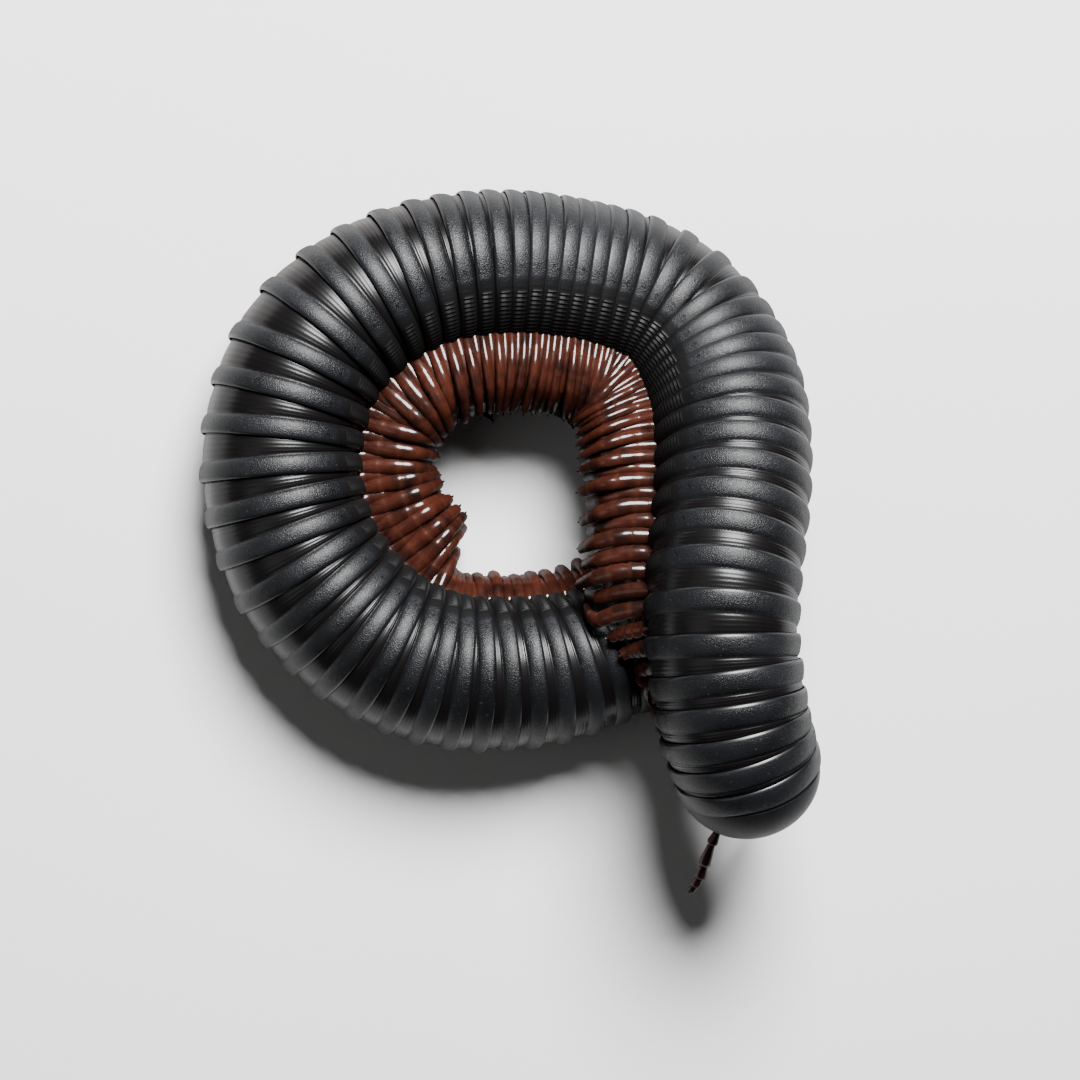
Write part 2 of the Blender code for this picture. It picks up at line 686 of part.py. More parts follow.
def build_telson():
    """The legless last ring, closed behind by its two valves."""
    end = rim(LAST_RING)
    centre, tailward, _, _, back, right = frame(end)
    material = finish("telson_black", (0.030, 0.026, 0.026), 0.3)
    loops = []
    for along, size in TELSON_LOOPS:
        middle = centre + (along + GAP / 2) * tailward
        loop = []
        for k in range(SIDES):
            angle = 2.0 * math.pi * (k + 0.5) / SIDES
            point = middle + size * (math.cos(angle) * back + math.sin(angle) * right)
            point[2] = max(point[2], 0.0)
            loop.append(point)
        loops.append(loop)
    telson = loft("telson", loops, material)
    axes = (right, tailward, back)
    middle = centre + VALVE_AT[1] * tailward + VALVE_AT[2] * back
    valves = [ellipsoid("valve", middle + side * VALVE_AT[0] * right, VALVE_HALF, axes, 14, 10)
              for side in (1, -1)]
    apply_boolean(telson, "UNION", valves)


def main():
    remove_everything()
    build_trunk()
    build_head()
    build_telson()
    for thing in bpy.data.objects:
        if thing.type == "MESH":
            thing.data.shade_smooth()
            thing.data.set_sharp_from_angle(angle=math.radians(35.0))


main()
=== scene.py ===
# Giant African millipede lying in a loop: its finished rings, legs, head and rear end.
# The body's middle line and its sizes are in millimetres, as in the solids.
# Each repeated shape is modelled once in millimetres and set in place in metres.

import math
import random

import bmesh
import bpy
import numpy as np
from mathutils import Matrix, Vector


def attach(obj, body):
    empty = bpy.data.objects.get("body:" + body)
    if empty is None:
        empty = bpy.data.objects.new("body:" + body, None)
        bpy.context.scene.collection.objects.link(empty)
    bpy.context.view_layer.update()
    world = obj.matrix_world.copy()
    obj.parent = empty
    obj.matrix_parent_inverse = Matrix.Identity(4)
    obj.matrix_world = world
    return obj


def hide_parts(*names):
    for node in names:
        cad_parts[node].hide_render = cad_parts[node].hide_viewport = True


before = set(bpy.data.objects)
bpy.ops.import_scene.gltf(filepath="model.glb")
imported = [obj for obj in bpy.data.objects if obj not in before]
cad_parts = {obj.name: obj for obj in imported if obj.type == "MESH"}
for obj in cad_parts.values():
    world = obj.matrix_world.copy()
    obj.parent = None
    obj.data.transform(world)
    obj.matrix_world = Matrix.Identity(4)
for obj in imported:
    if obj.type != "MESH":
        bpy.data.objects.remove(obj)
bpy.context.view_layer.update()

MM = 0.001

# The body's line, as the solids have it

ROUTE = (
    (23.9, -29.0, 24.2), (22.8, -26.2, 25.2), (21.6, -22.5, 26.0), (20.8, -18.3, 26.3),
    (20.2, -13.7, 26.3), (20.2, -8.2, 25.9), (21.1, -1.4, 24.2), (22.3, 5.4, 21.8),
    (22.9, 12.4, 18.9), (22.5, 18.5, 16.0), (20.5, 23.9, 13.2), (16.7, 28.7, 11.0),
    (11.9, 31.4, 10.0), (5.9, 32.9, 9.9), (-0.3, 33.9, 9.9), (-6.4, 34.1, 9.9),
    (-12.8, 33.3, 9.9), (-18.6, 31.5, 10.0), (-23.9, 28.4, 10.0), (-28.3, 24.2, 10.0),
    (-31.1, 18.9, 10.0), (-32.6, 13.0, 10.0), (-32.7, 7.4, 10.0), (-31.6, 1.8, 10.0),
    (-29.4, -3.6, 10.0), (-25.8, -8.3, 9.9), (-21.6, -12.2, 9.9), (-16.3, -15.1, 9.8),
    (-10.2, -16.8, 9.7), (-3.8, -16.9, 9.6), (2.6, -16.2, 9.3), (8.5, -14.5, 8.9),
    (14.5, -11.9, 8.1), (20.0, -9.2, 6.8), (25.1, -6.6, 4.6),
)
MIDDLE = (-4.84, -0.11)
RADIUS_AT = (
    (0.0, 9.1), (8.0, 9.4), (25.0, 9.6), (45.0, 10.0), (95.0, 10.2), (140.0, 10.15),
    (165.0, 9.9), (178.0, 9.5), (186.0, 9.0), (193.0, 8.0), (199.0, 6.3), (204.0, 4.6),
)
RIM_AT = (
    (3, 1.9), (6, 10.3), (9, 22.1), (13, 38.1), (17, 50.2), (21, 60.2), (24, 69.8),
    (27, 76.3), (34, 90.6), (39, 107.1), (42, 120.6), (48, 145.8), (53, 162.8),
    (57, 174.6), (60, 184.1), (64, 194.5), (68, 202.0),
)
LEAN_AT = (
    (0.0, 12.0), (11.0, 27.0), (22.0, 45.0), (36.0, 53.0), (50.0, 72.0), (62.0, 92.0),
    (75.0, 99.0), (95.0, 92.0), (107.0, 80.0), (125.0, 67.0), (147.0, 61.0), (204.0, 60.0),
)
FIRST_RING = 3
LENGTH_ENDS = (8, 13, 17, 22, 28, 34, 38, 42, 46, 51, 57, 68)
# The number of each length of the body, with its first and last rings.
LENGTHS = tuple(enumerate(zip((FIRST_RING, *(end + 1 for end in LENGTH_ENDS)), LENGTH_ENDS), start=1))
NECK_AT = 0.9
GAP = 0.35
ORIGIN = (0.0, 0.0, 0.0)
UP = np.array((0.0, 0.0, 1.0))


class Curve:
    """A natural cubic curve through values at increasing distances."""

    def __init__(self, distances, values):
        self.x = np.array(distances, float)
        self.y = np.array(values, float).reshape(len(self.x), -1)
        step = np.diff(self.x)
        rise = np.diff(self.y, axis=0) / step[:, None]
        matrix = np.eye(len(self.x))
        right = np.zeros_like(self.y)
        for i in range(1, len(self.x) - 1):
            matrix[i, i - 1:i + 2] = step[i - 1], 2.0 * (step[i - 1] + step[i]), step[i]
            right[i] = 6.0 * (rise[i] - rise[i - 1])
        self.bend = np.linalg.solve(matrix, right)

    def at(self, distance):
        i = int(np.clip(np.searchsorted(self.x, distance) - 1, 0, len(self.x) - 2))
        step = self.x[i + 1] - self.x[i]
        a = (self.x[i + 1] - distance) / step
        b = 1.0 - a
        near = a * self.y[i] + b * self.y[i + 1]
        return near + ((a ** 3 - a) * self.bend[i] + (b ** 3 - b) * self.bend[i + 1]) * step ** 2 / 6.0


def in_steps(table, distance, column=1):
    """A table's column, read on straight lines between its entries."""
    places = [row[0] for row in table]
    rows = np.array([np.ravel(row[column]) for row in table], float)
    return np.array([np.interp(distance, places, values) for values in rows.T])


def unit(vector):
    """A vector at length 1, or each row of an array of them."""
    return vector / np.linalg.norm(vector, axis=-1, keepdims=True)


def rotated(vector, axis, degrees):
    """The vector turned about an axis."""
    angle = math.radians(degrees)
    axis = unit(axis)
    return (vector * math.cos(angle) + np.cross(axis, vector) * math.sin(angle)
            + axis * np.dot(axis, vector) * (1.0 - math.cos(angle)))


def leaning(first, second, degrees):
    """The direction between two others that are square to each other."""
    angle = math.radians(degrees)
    return math.cos(angle) * first + math.sin(angle) * second


def distances_along(points):
    """The distance of each point along the line through them all."""
    return np.concatenate([[0.0], np.cumsum(np.linalg.norm(np.diff(points, axis=0), axis=1))])


def read_line(wanted, places, line):
    """A line's values at the wanted distances."""
    return np.stack([np.interp(wanted, places, line[:, k]) for k in range(3)], axis=1)


POINTS = np.array(ROUTE, float) - (*MIDDLE, 0.0)
LINE = Curve(distances_along(POINTS), POINTS)
RADIUS = Curve(*zip(*RADIUS_AT))
RIMS = Curve(*zip(*RIM_AT))


def radius(distance):
    return float(RADIUS.at(distance)[0])


def rim(ring):
    """The distance of a ring's rear rim."""
    return float(RIMS.at(ring)[0])


def body_frame(distance):
    """Centre, direction to the tail, outward, back and right-hand directions."""
    centre = LINE.at(distance)
    tailward = unit(LINE.at(distance + 0.05) - LINE.at(distance - 0.05))
    outward = unit(np.cross(tailward, UP))
    upward = np.cross(outward, tailward)
    back = leaning(upward, outward, in_steps(LEAN_AT, distance)[0])
    return centre, tailward, outward, back, np.cross(back, tailward)


# Modelling by operators

def select_only(thing):
    bpy.ops.object.select_all(action="DESELECT")
    thing.select_set(True)
    bpy.context.view_layer.objects.active = thing


def newly_added(name):
    """Name the primitive that was just added."""
    thing = bpy.context.active_object
    thing.name = name
    thing.data.name = name
    return thing


def edit(thing):
    """Enter edit mode with the whole piece selected."""
    select_only(thing)
    bpy.ops.object.mode_set(mode="EDIT")
    take_all()


def leave_edit():
    bpy.ops.object.mode_set(mode="OBJECT")


def take_all():
    bpy.ops.mesh.select_all(action="SELECT")


def stretch(x, y, z):
    """In edit mode, stretch what is selected, seen from the origin."""
    bpy.ops.transform.resize(value=(x, y, z), center_override=ORIGIN)


def pick(thing, wanted):
    """In edit mode, select the points whose place passes a test."""
    bpy.ops.mesh.select_mode(type="VERT")
    bpy.ops.mesh.select_all(action="DESELECT")
    shape = bmesh.from_edit_mesh(thing.data)
    for vertex in shape.verts:
        vertex.select_set(bool(wanted(vertex.co)))
    shape.select_flush_mode()
    bmesh.update_edit_mesh(thing.data)


def spun(steps, degrees, axis):
    """In edit mode, spin what is selected about an axis through the origin."""
    bpy.ops.mesh.spin(steps=steps, angle=math.radians(degrees), center=ORIGIN, axis=axis)


def close_shell(threshold=0.002):
    """Merge doubles, turn every face outwards and leave edit mode."""
    take_all()
    bpy.ops.mesh.remove_doubles(threshold=threshold)
    bpy.ops.mesh.normals_make_consistent(inside=False)
    leave_edit()


def traced(name, points):
    """A line through points, each extruded from the one before, left in edit mode."""
    bpy.ops.mesh.primitive_plane_add(size=1.0, location=ORIGIN)
    thing = newly_added(name)
    edit(thing)
    bpy.ops.mesh.merge(type="CENTER")
    bpy.ops.transform.translate(value=points[0])
    for before, after in zip(points, points[1:]):
        bpy.ops.mesh.extrude_vertices_move(TRANSFORM_OT_translate={"value": after - before})
    return thing


def stem(name, sides, stations):
    """A round stem along x through stations of place and half thickness, left in edit mode."""
    bpy.ops.mesh.primitive_circle_add(vertices=sides, radius=1.0, fill_type="NGON",
                                      rotation=(0.0, math.radians(90.0), 0.0))
    thing = newly_added(name)
    select_only(thing)
    bpy.ops.object.transform_apply(location=False, rotation=True, scale=False)
    edit(thing)
    bpy.ops.transform.resize(value=(1.0, stations[0][1], stations[0][1]))
    for (place, half), (next_place, next_half) in zip(stations, stations[1:]):
        step = (next_place - place, 0.0, 0.0)
        bpy.ops.mesh.extrude_region_move(TRANSFORM_OT_translate={"value": step})
        bpy.ops.transform.resize(value=(1.0, next_half / half, next_half / half))
    return thing


def modify(thing, kind, **settings):
    """Add a modifier to a piece, set it and apply it."""
    modifier = thing.modifiers.new(kind.lower(), kind)
    for key, value in settings.items():
        setattr(modifier, key, value)
    select_only(thing)
    bpy.ops.object.modifier_apply(modifier=modifier.name)


def new_object(name, data):
    thing = bpy.data.objects.new(name, data)
    bpy.context.scene.collection.objects.link(thing)
    return thing


def finish_piece(thing, material, nodes, degrees=60.0):
    """Smooth a piece, give it its finish, and set it to ride on the body for its solids."""
    select_only(thing)
    bpy.ops.object.shade_smooth_by_angle(angle=math.radians(degrees))
    thing.data.materials.clear()
    thing.data.materials.append(material)
    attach(thing, "root")
    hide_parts(*nodes)


def discard(thing):
    bpy.data.objects.remove(thing, do_unlink=True)


def points_of(thing):
    points = np.zeros(len(thing.data.vertices) * 3)
    thing.data.vertices.foreach_get("co", points)
    return points.reshape(-1, 3)


def set_points(thing, points):
    """Set a piece's points, given in millimetres."""
    thing.data.vertices.foreach_set("co", (points * MM).ravel())
    thing.data.update()


def add_values(mesh, name, values):
    """Store point values that the finish reads."""
    layer = mesh.attributes.new(name, "FLOAT", "POINT")
    layer.data.foreach_set("value", values)


def give_values(thing, **rules):
    """Store point values, each from a rule on the point's place."""
    for name, rule in rules.items():
        add_values(thing.data, name, [float(rule(vertex.co)) for vertex in thing.data.vertices])


def placed_as_one(name, template, placed, **extra):
    """One mesh of many copies of a template, given each copy's points, with its values kept."""
    source = template.data
    count = len(source.vertices)
    faces = [tuple(face.vertices) for face in source.polygons]
    shifts = range(0, count * len(placed), count)
    all_faces = [tuple(i + shift for i in face) for shift in shifts for face in faces]
    mesh = bpy.data.meshes.new(name)
    mesh.from_pydata((np.concatenate(placed) * MM).tolist(), [], all_faces)
    for layer in source.attributes:
        if layer.domain == "POINT" and layer.data_type == "FLOAT":
            read = np.zeros(count, np.float32)
            layer.data.foreach_get("value", read)
            add_values(mesh, layer.name, np.tile(read, len(placed)))
    for key, numbers in extra.items():
        add_values(mesh, key, np.repeat(np.array(numbers, np.float32), count))
    return new_object(name, mesh)


def copies_as_one(name, template, places, **extra):
    """One mesh of many copies of a template, each with its own axes, origin and scale."""
    local = points_of(template)
    placed = [origin + local * scale @ np.array(axes) for axes, origin, scale in places]
    return placed_as_one(name, template, placed, **extra)


# Finishes

def set_inputs(node, **numbers):
    """Set a node's inputs by name, with _ for each space."""
    for key, number in numbers.items():
        node.inputs[key.replace("_", " ")].default_value = number


class Net:
    """A material's or a group's node tree, with short ways to add and join nodes."""

    def __init__(self, tree):
        self.tree = tree
        self.shader = tree.nodes.get("Principled BSDF")

    def add(self, kind, **values):
        node = self.tree.nodes.new(kind)
        for key, value in values.items():
            setattr(node, key, value)
        return node

    def join(self, source, target):
        """Feed an input from another node's output, a number or a colour."""
        if isinstance(source, bpy.types.NodeSocket):
            self.tree.links.new(source, target)
        elif isinstance(source, tuple):
            target.default_value = (*source, 1.0)
        else:
            target.default_value = source

    def noise(self, where, scale, detail, roughness=0.5):
        node = self.add("ShaderNodeTexNoise")
        set_inputs(node, Scale=scale, Detail=detail, Roughness=roughness)
        self.join(where, node.inputs["Vector"])
        return node.outputs["Fac"]

    def spread(self, value, low, high, to_low=0.0, to_high=1.0):
        """Spread a range of a value over another range, held at its ends."""
        node = self.add("ShaderNodeMapRange")
        set_inputs(node, From_Min=low, From_Max=high, To_Min=to_low, To_Max=to_high)
        self.join(value, node.inputs["Value"])
        return node.outputs["Result"]

    def sums(self, operation, *values):
        node = self.add("ShaderNodeMath", operation=operation)
        for value, socket in zip(values, node.inputs):
            self.join(value, socket)
        return node.outputs["Value"]

    def times(self, first, second):
        return self.sums("MULTIPLY", first, second)

    def plus(self, first, second):
        return self.sums("ADD", first, second)

    def minus(self, first, second):
        return self.sums("SUBTRACT", first, second)

    def mix(self, share, first, second):
        """A colour between two others."""
        node = self.add("ShaderNodeMix", data_type="RGBA")
        for value, number in ((share, 0), (first, 6), (second, 7)):
            self.join(value, node.inputs[number])
        return node.outputs[2]

    def dress(self, colour, rough, height, strength, distance):
        """Join a colour, a roughness and a relief to the shader."""
        relief = self.add("ShaderNodeBump")
        set_inputs(relief, Strength=strength, Distance=distance)
        self.join(height, relief.inputs["Height"])
        self.join(colour, self.shader.inputs["Base Color"])
        self.join(rough, self.shader.inputs["Roughness"])
        self.join(relief.outputs["Normal"], self.shader.inputs["Normal"])

    def edge_on(self, most, begin=0.55, end=1.0):
        """A value that grows where the skin turns away from the eye."""
        node = self.add("ShaderNodeLayerWeight")
        set_inputs(node, Blend=0.5)
        return self.spread(node.outputs["Facing"], begin, end, 0.0, most)

    def gloss(self, weight, roughness):
        """A clear coat that fades where the skin turns away from the eye."""
        facing = self.minus(1.0, self.edge_on(1.0, 0.15, 0.65))
        self.join(self.times(facing, weight), self.shader.inputs["Coat Weight"])
        set_inputs(self.shader, Coat_Roughness=roughness)

    def pore(self):
        """A round spot on each flank of a ring that has pores."""
        ahead = self.minus(self.attribute("along"), PORE_AT)
        aside = self.minus(self.attribute("around"), PORE_ANGLE / 180.0)
        aside = self.times(aside, math.pi * RING_RADIUS)
        away = self.plus(self.times(ahead, ahead), self.times(aside, aside))
        spot = self.spread(away, PORE_SIZE ** 2 * 1.3, PORE_SIZE ** 2 * 0.6)
        return self.times(spot, self.attribute("pore"))

    def attribute(self, name):
        return self.add("ShaderNodeAttribute", attribute_name=name).outputs["Fac"]

    def place(self):
        return self.add("ShaderNodeTexCoord").outputs["Object"]

    def height(self):
        """Height above the floor."""
        node = self.add("ShaderNodeSeparateXYZ")
        self.join(self.place(), node.inputs["Vector"])
        return node.outputs["Z"]


def new_material(name, roughness, specular):
    """A material and its net, with the same all-over numbers on its shader."""
    material = bpy.data.materials.new(name)
    material.use_nodes = True
    net = Net(material.node_tree)
    set_inputs(net.shader, Roughness=roughness, Specular_IOR_Level=specular)
    return material, net


GRAIN_SCALE = 8500.0
SATIN_BLACK = (0.0020, 0.0022, 0.0026)
SATIN_GREY = (0.0042, 0.0046, 0.0056)
GLOSSY_BLACK = (0.0022, 0.0019, 0.0019)
# Painted reflection of a brown floor, laid on the necks and bands low on the flanks.
PAINTED_FLOOR_BROWN = (0.0095, 0.0045, 0.0030)
DUST = (0.12, 0.10, 0.08)
NECK_LINES = 17.0        # how close the fine lines round a neck are


def chitin_grain():
    """A group for the pebbled skin: fine grains, sparse pits and slow cloudy change."""
    group = bpy.data.node_groups.new("chitin_grain", "ShaderNodeTree")
    group.interface.new_socket(name="Vector", in_out="INPUT", socket_type="NodeSocketVector")
    for name in ("Height", "Cloud", "Speck"):
        group.interface.new_socket(name=name, in_out="OUTPUT", socket_type="NodeSocketFloat")
    net = Net(group)
    place = net.add("NodeGroupInput").outputs["Vector"]
    out = net.add("NodeGroupOutput")
    grains = net.add("ShaderNodeTexVoronoi", feature="SMOOTH_F1")
    set_inputs(grains, Scale=GRAIN_SCALE)
    net.join(place, grains.inputs["Vector"])
    pits = net.spread(net.noise(place, 1900.0, 2.0), 0.30, 0.42)
    rounded = net.times(grains.outputs["Distance"], -0.8)
    net.join(net.plus(rounded, net.times(pits, 0.15)), out.inputs["Height"])
    net.join(net.noise(place, 120.0, 4.0, 0.6), out.inputs["Cloud"])
    net.join(net.spread(net.noise(place, 2600.0, 1.0), 0.70, 0.78), out.inputs["Speck"])
    return group


GRAIN = chitin_grain()


def grained(net, black):
    """The grain group's outputs on a material's place, and a cloudy mix of a black with grey."""
    node = net.add("ShaderNodeGroup", node_tree=GRAIN)
    net.join(net.place(), node.inputs["Vector"])
    cloud = net.spread(node.outputs["Cloud"], 0.35, 0.65)
    return node.outputs, net.mix(cloud, black, SATIN_GREY)


def ring_finish():
    """Satin, pebbled bands with glossy necks between them, and a painted reflection of a brown floor
    low on the outer flank.
    """
    material, net = new_material("ring_chitin", 0.4, 0.135)
    grain, satin = grained(net, SATIN_BLACK)
    band = net.attribute("band")
    # Painted reflection: the necks turn brown towards the floor.
    neck = net.mix(net.spread(net.height(), 0.017, 0.008), GLOSSY_BLACK, PAINTED_FLOOR_BROWN)
    # Painted reflection: the bands turn brown lowest down, next to the floor.
    low = net.spread(net.height(), 0.010, 0.002)
    flank = net.mix(net.times(low, 0.7), satin, PAINTED_FLOOR_BROWN)
    dusty = net.mix(net.times(grain["Speck"], 0.16), flank, DUST)
    ridged = net.spread(net.attribute("around"), 0.57, 0.64)
    crest = net.spread(net.attribute("along"), -0.50, -0.25)
    pore = net.pore()
    bare = net.sums("MAXIMUM", net.times(ridged, 0.9), pore)
    colour = net.mix(bare, net.mix(band, neck, dusty), GLOSSY_BLACK)
    sheen = net.spread(ridged, 0.0, 1.0, 1.0, 0.08)
    sheen = net.times(net.spread(band, 0.0, 1.0, 0.12, 0.10), sheen)
    net.gloss(net.plus(sheen, net.times(crest, 0.25)), 0.36)
    rough = net.plus(net.spread(grain["Cloud"], 0.25, 0.75, -0.05, 0.06),
                     net.plus(net.spread(band, 0.0, 1.0, 0.26, 0.36), net.attribute("tone")))
    rough = net.minus(net.plus(rough, net.times(ridged, 0.10)), net.times(crest, 0.12))
    rough = net.plus(rough, net.edge_on(0.30))
    pebbles = net.times(grain["Height"], net.spread(band, 0.2, 0.9, 0.08, 1.0))
    pebbles = net.times(pebbles, net.minus(1.0, net.sums("MAXIMUM", ridged, crest)))
    lines = net.sums("SINE", net.times(net.attribute("along"), NECK_LINES))
    ruled = net.times(lines, net.spread(band, 0.0, 0.6, 0.16, 0.0))
    height = net.minus(net.plus(pebbles, ruled), net.times(pore, 2.5))
    net.dress(colour, rough, height, 0.9, 0.00008)
    return material


LEG_RED = (0.029, 0.0071, 0.0040)
LEG_DARK = (0.007, 0.0024, 0.0017)
LEG_KNUCKLE = (0.044, 0.013, 0.007)


def leg_finish(name, coat):
    """Glossy, slightly clear red brown, paler at the knuckles and dark at the claws, with painted
    shade at each leg's root.
    """
    material, net = new_material(name, 0.3, 0.06)
    net.gloss(coat, 0.10)
    set_inputs(net.shader, Subsurface_Weight=0.10, Subsurface_Radius=(1.0, 0.35, 0.2),
               Subsurface_Scale=0.0008)
    place = net.place()
    cloud = net.spread(net.noise(place, 300.0, 3.0), 0.35, 0.6)
    base = net.mix(cloud, LEG_DARK, LEG_RED)
    paler = net.mix(net.times(net.attribute("knuckle"), 0.5), base, LEG_KNUCKLE)
    # The dark values carry painted shade at a leg's root, as well as the dark claws and antenna tips.
    colour = net.mix(net.plus(net.attribute("dark"), net.attribute("shade")), paler, LEG_DARK)
    rough = net.spread(net.noise(place, 900.0, 2.0), 0.3, 0.7, 0.26, 0.40)
    rough = net.plus(rough, net.edge_on(0.35))
    net.dress(colour, rough, net.noise(place, 2600.0, 3.0), 0.25, 0.00005)
    return material


# The rings

RING_RADIUS = 10.0
BAND_LENGTH = 2.5
# A ring's outline along the body, from its hidden front edge over its neck and raised band to
# the rear rim, and back inside. Distance from the rim, radius, and 1 on the band.
RING_OUTLINE = (
    (-4.60, 9.20, 0.0), (-4.20, 9.40, 0.0), (-3.70, 9.50, 0.0), (-3.20, 9.54, 0.0),
    (-2.80, 9.52, 0.0), (-2.60, 9.44, 0.0), (-2.50, 9.47, 1.0), (-2.36, 9.63, 1.0),
    (-2.10, 9.77, 1.0), (-1.70, 9.89, 1.0), (-1.20, 9.98, 1.0), (-0.75, 10.01, 1.0),
    (-0.38, 9.98, 1.0), (-0.14, 9.90, 1.0), (-0.01, 9.77, 1.0), (-0.06, 9.66, 0.0),
    (-1.10, 9.58, 0.0), (-2.60, 9.28, 0.0), (-4.50, 9.03, 0.0),
)
NECK_TUCK = 0.6          # how far a ring's front edge lies inside the ring before it
BACK_SPAN = 210.0        # degrees of the ring's smooth back
BACK_STEPS = 46
BELLY_STEPS = 94
# The ridges rise in steps: angle from the back where each begins, and its share of the radius.
RIDGE_STEPS = ((106.0, 0.004), (110.0, 0.004), (115.0, 0.006))
RIDGE_END = 158.0
RIDGE_ALONG = (-2.3, -0.2)
RIDGE_FROM_RADIUS = 9.62
PORE_ANGLE = 98.0
PORE_AT = -1.15
PORE_SIZE = 0.17
FIRST_PORE_RING = 6
BAND_LENGTH_AT = (
    (0.0, 2.7), (20.0, 2.8), (45.0, 2.55), (80.0, 2.4), (140.0, 2.45), (185.0, 2.0), (204.0, 1.2),
)
# How much the rings vary: tilt and roll in degrees, and roughness.
TILT_VARIES = 0.7
ROLL_VARIES = 1.0
TONE_VARIES = 0.03


def model_ring():
    """One ring: its outline is traced point by point, then spun round the body's line."""
    start = -math.radians(BACK_SPAN / 2.0)
    turned = [Vector((x, math.sin(start) * r, math.cos(start) * r)) for x, r, _ in RING_OUTLINE]
    ring = traced("ring_master", turned + turned[:1])
    take_all()
    bpy.ops.mesh.remove_doubles(threshold=0.001)
    spun(BACK_STEPS, BACK_SPAN, (1.0, 0.0, 0.0))
    spun(BELLY_STEPS, 360.0 - BACK_SPAN, (1.0, 0.0, 0.0))
    close_shell(0.004)
    edit(ring)
    raise_ridges(ring)
    leave_edit()
    give_values(ring, band=on_band, around=lambda place: angle_of(place) / 180.0,
                along=lambda place: place.x)
    return ring


def angle_of(place):
    """The angle round the body from the middle of the back, 0 to 180 degrees."""
    return math.degrees(math.atan2(abs(place.y), place.z))


def on_band(place):
    """1 on the band and 0 elsewhere, from the nearest point of the outline."""
    size = math.hypot(place.y, place.z)
    return min(RING_OUTLINE, key=lambda row: (row[0] - place.x) ** 2 + (row[1] - size) ** 2)[2]


def raise_ridges(ring):
    """Lift every other line of points low on the flanks, the fine lengthwise ridges there."""
    step = (360.0 - BACK_SPAN) / BELLY_STEPS
    for begin, height in RIDGE_STEPS:
        def on_ridge(place):
            outside = math.hypot(place.y, place.z) >= RIDGE_FROM_RADIUS
            if not outside or not RIDGE_ALONG[0] < place.x < RIDGE_ALONG[1]:
                return False
            angle = angle_of(place)
            return begin < angle < RIDGE_END and round((angle - BACK_SPAN / 2.0) / step) % 2 == 1

        pick(ring, on_ridge)
        grow = 1.0 + height
        stretch(1.0, grow, grow)


def ring_axes(distance, tilt=0.0):
    """Centre, and the lengthwise, sideways and back directions of a ring, tilted a little."""
    centre, tailward, _, back, right = body_frame(distance)
    return centre, rotated(tailward, right, tilt), right, rotated(back, right, tilt)


def ring_points(local, ring, tilt, roll):
    """A ring's points in place: its band stays rigid, and its neck reaches into the ring before."""
    a = math.radians(roll)
    turn = ((1.0, 0.0, 0.0), (0.0, math.cos(a), math.sin(a)), (0.0, -math.sin(a), math.cos(a)))
    local = local @ np.array(turn)
    place = rim(ring)
    centre, along, side, back = ring_axes(place, tilt)
    size = radius(place) / RING_RADIUS
    long = in_steps(BAND_LENGTH_AT, place)[0] / BAND_LENGTH
    across = size * (local[:, 1:2] * side + local[:, 2:3] * back)
    rigid = centre + local[:, 0:1] * long * along + across
    front = centre - BAND_LENGTH * long * along + across
    before = rim(ring - 1) - NECK_TUCK if ring > FIRST_RING else NECK_AT - GAP
    centre, _, side, back = ring_axes(before)
    size = min(size, radius(before) / RING_RADIUS)
    tucked = centre + size * (local[:, 1:2] * side + local[:, 2:3] * back)
    share = (-BAND_LENGTH - local[:, 0:1]) / (-BAND_LENGTH - RING_OUTLINE[0][0])
    neck = front + np.clip(share, 0.0, 1.0) * (tucked - front)
    return np.where(local[:, 0:1] < -BAND_LENGTH, neck, rigid)


def build_rings(finish):
    """A piece for each length of the body, of that length's rings."""
    master = model_ring()
    local = points_of(master)
    draw = random.Random(11)
    for number, (first, last) in LENGTHS:
        rings = range(first, last + 1)
        placed = []
        for ring in rings:
            tilt = draw.uniform(-TILT_VARIES, TILT_VARIES)
            roll = draw.uniform(-ROLL_VARIES, ROLL_VARIES)
            placed.append(ring_points(local, ring, tilt, roll))
        tones = [draw.uniform(-TONE_VARIES, TONE_VARIES) for _ in rings]
        pores = [float(ring >= FIRST_PORE_RING) for ring in rings]
        piece = placed_as_one("rings_%d" % number, master, placed, tone=tones, pore=pores)
        rest_on_floor(piece)
        finish_piece(piece, finish, ["trunk_%d" % number], 50.0)
    discard(master)


def rest_on_floor(piece):
    """Press flat what would reach below the floor."""
    for vertex in piece.data.vertices:
        vertex.co.z = max(vertex.co.z, 0.0)


# The legs

# Each part of a leg: its length and half its thickness at its far end, from the body down.
LEG_PARTS = ((1.5, 0.64), (2.3, 0.67), (2.6, 0.66), (2.2, 0.61), (2.2, 0.54), (2.2, 0.42))
LEG_ROOT_HALF = 0.60
# The shape of each part between its joints: share of its length and of its half thickness.
PART_SHAPE = ((0.05, 0.93), (0.28, 1.00), (0.80, 1.02), (0.97, 0.99))
CLAW = ((0.02, 0.17), (0.35, 0.15), (0.60, 0.10), (0.80, 0.04))
CLAW_DROP = 0.35
LEG_KEEL = 1.45          # how far a leg's upper line stands up from its round section
LEG_STRAIGHT = 0.75      # how nearly a leg's two upper parts lie in one line
KEEL_FROM = 0.9          # the keel's points, by their height as a share of their radius
JOINT_REACH = 0.3
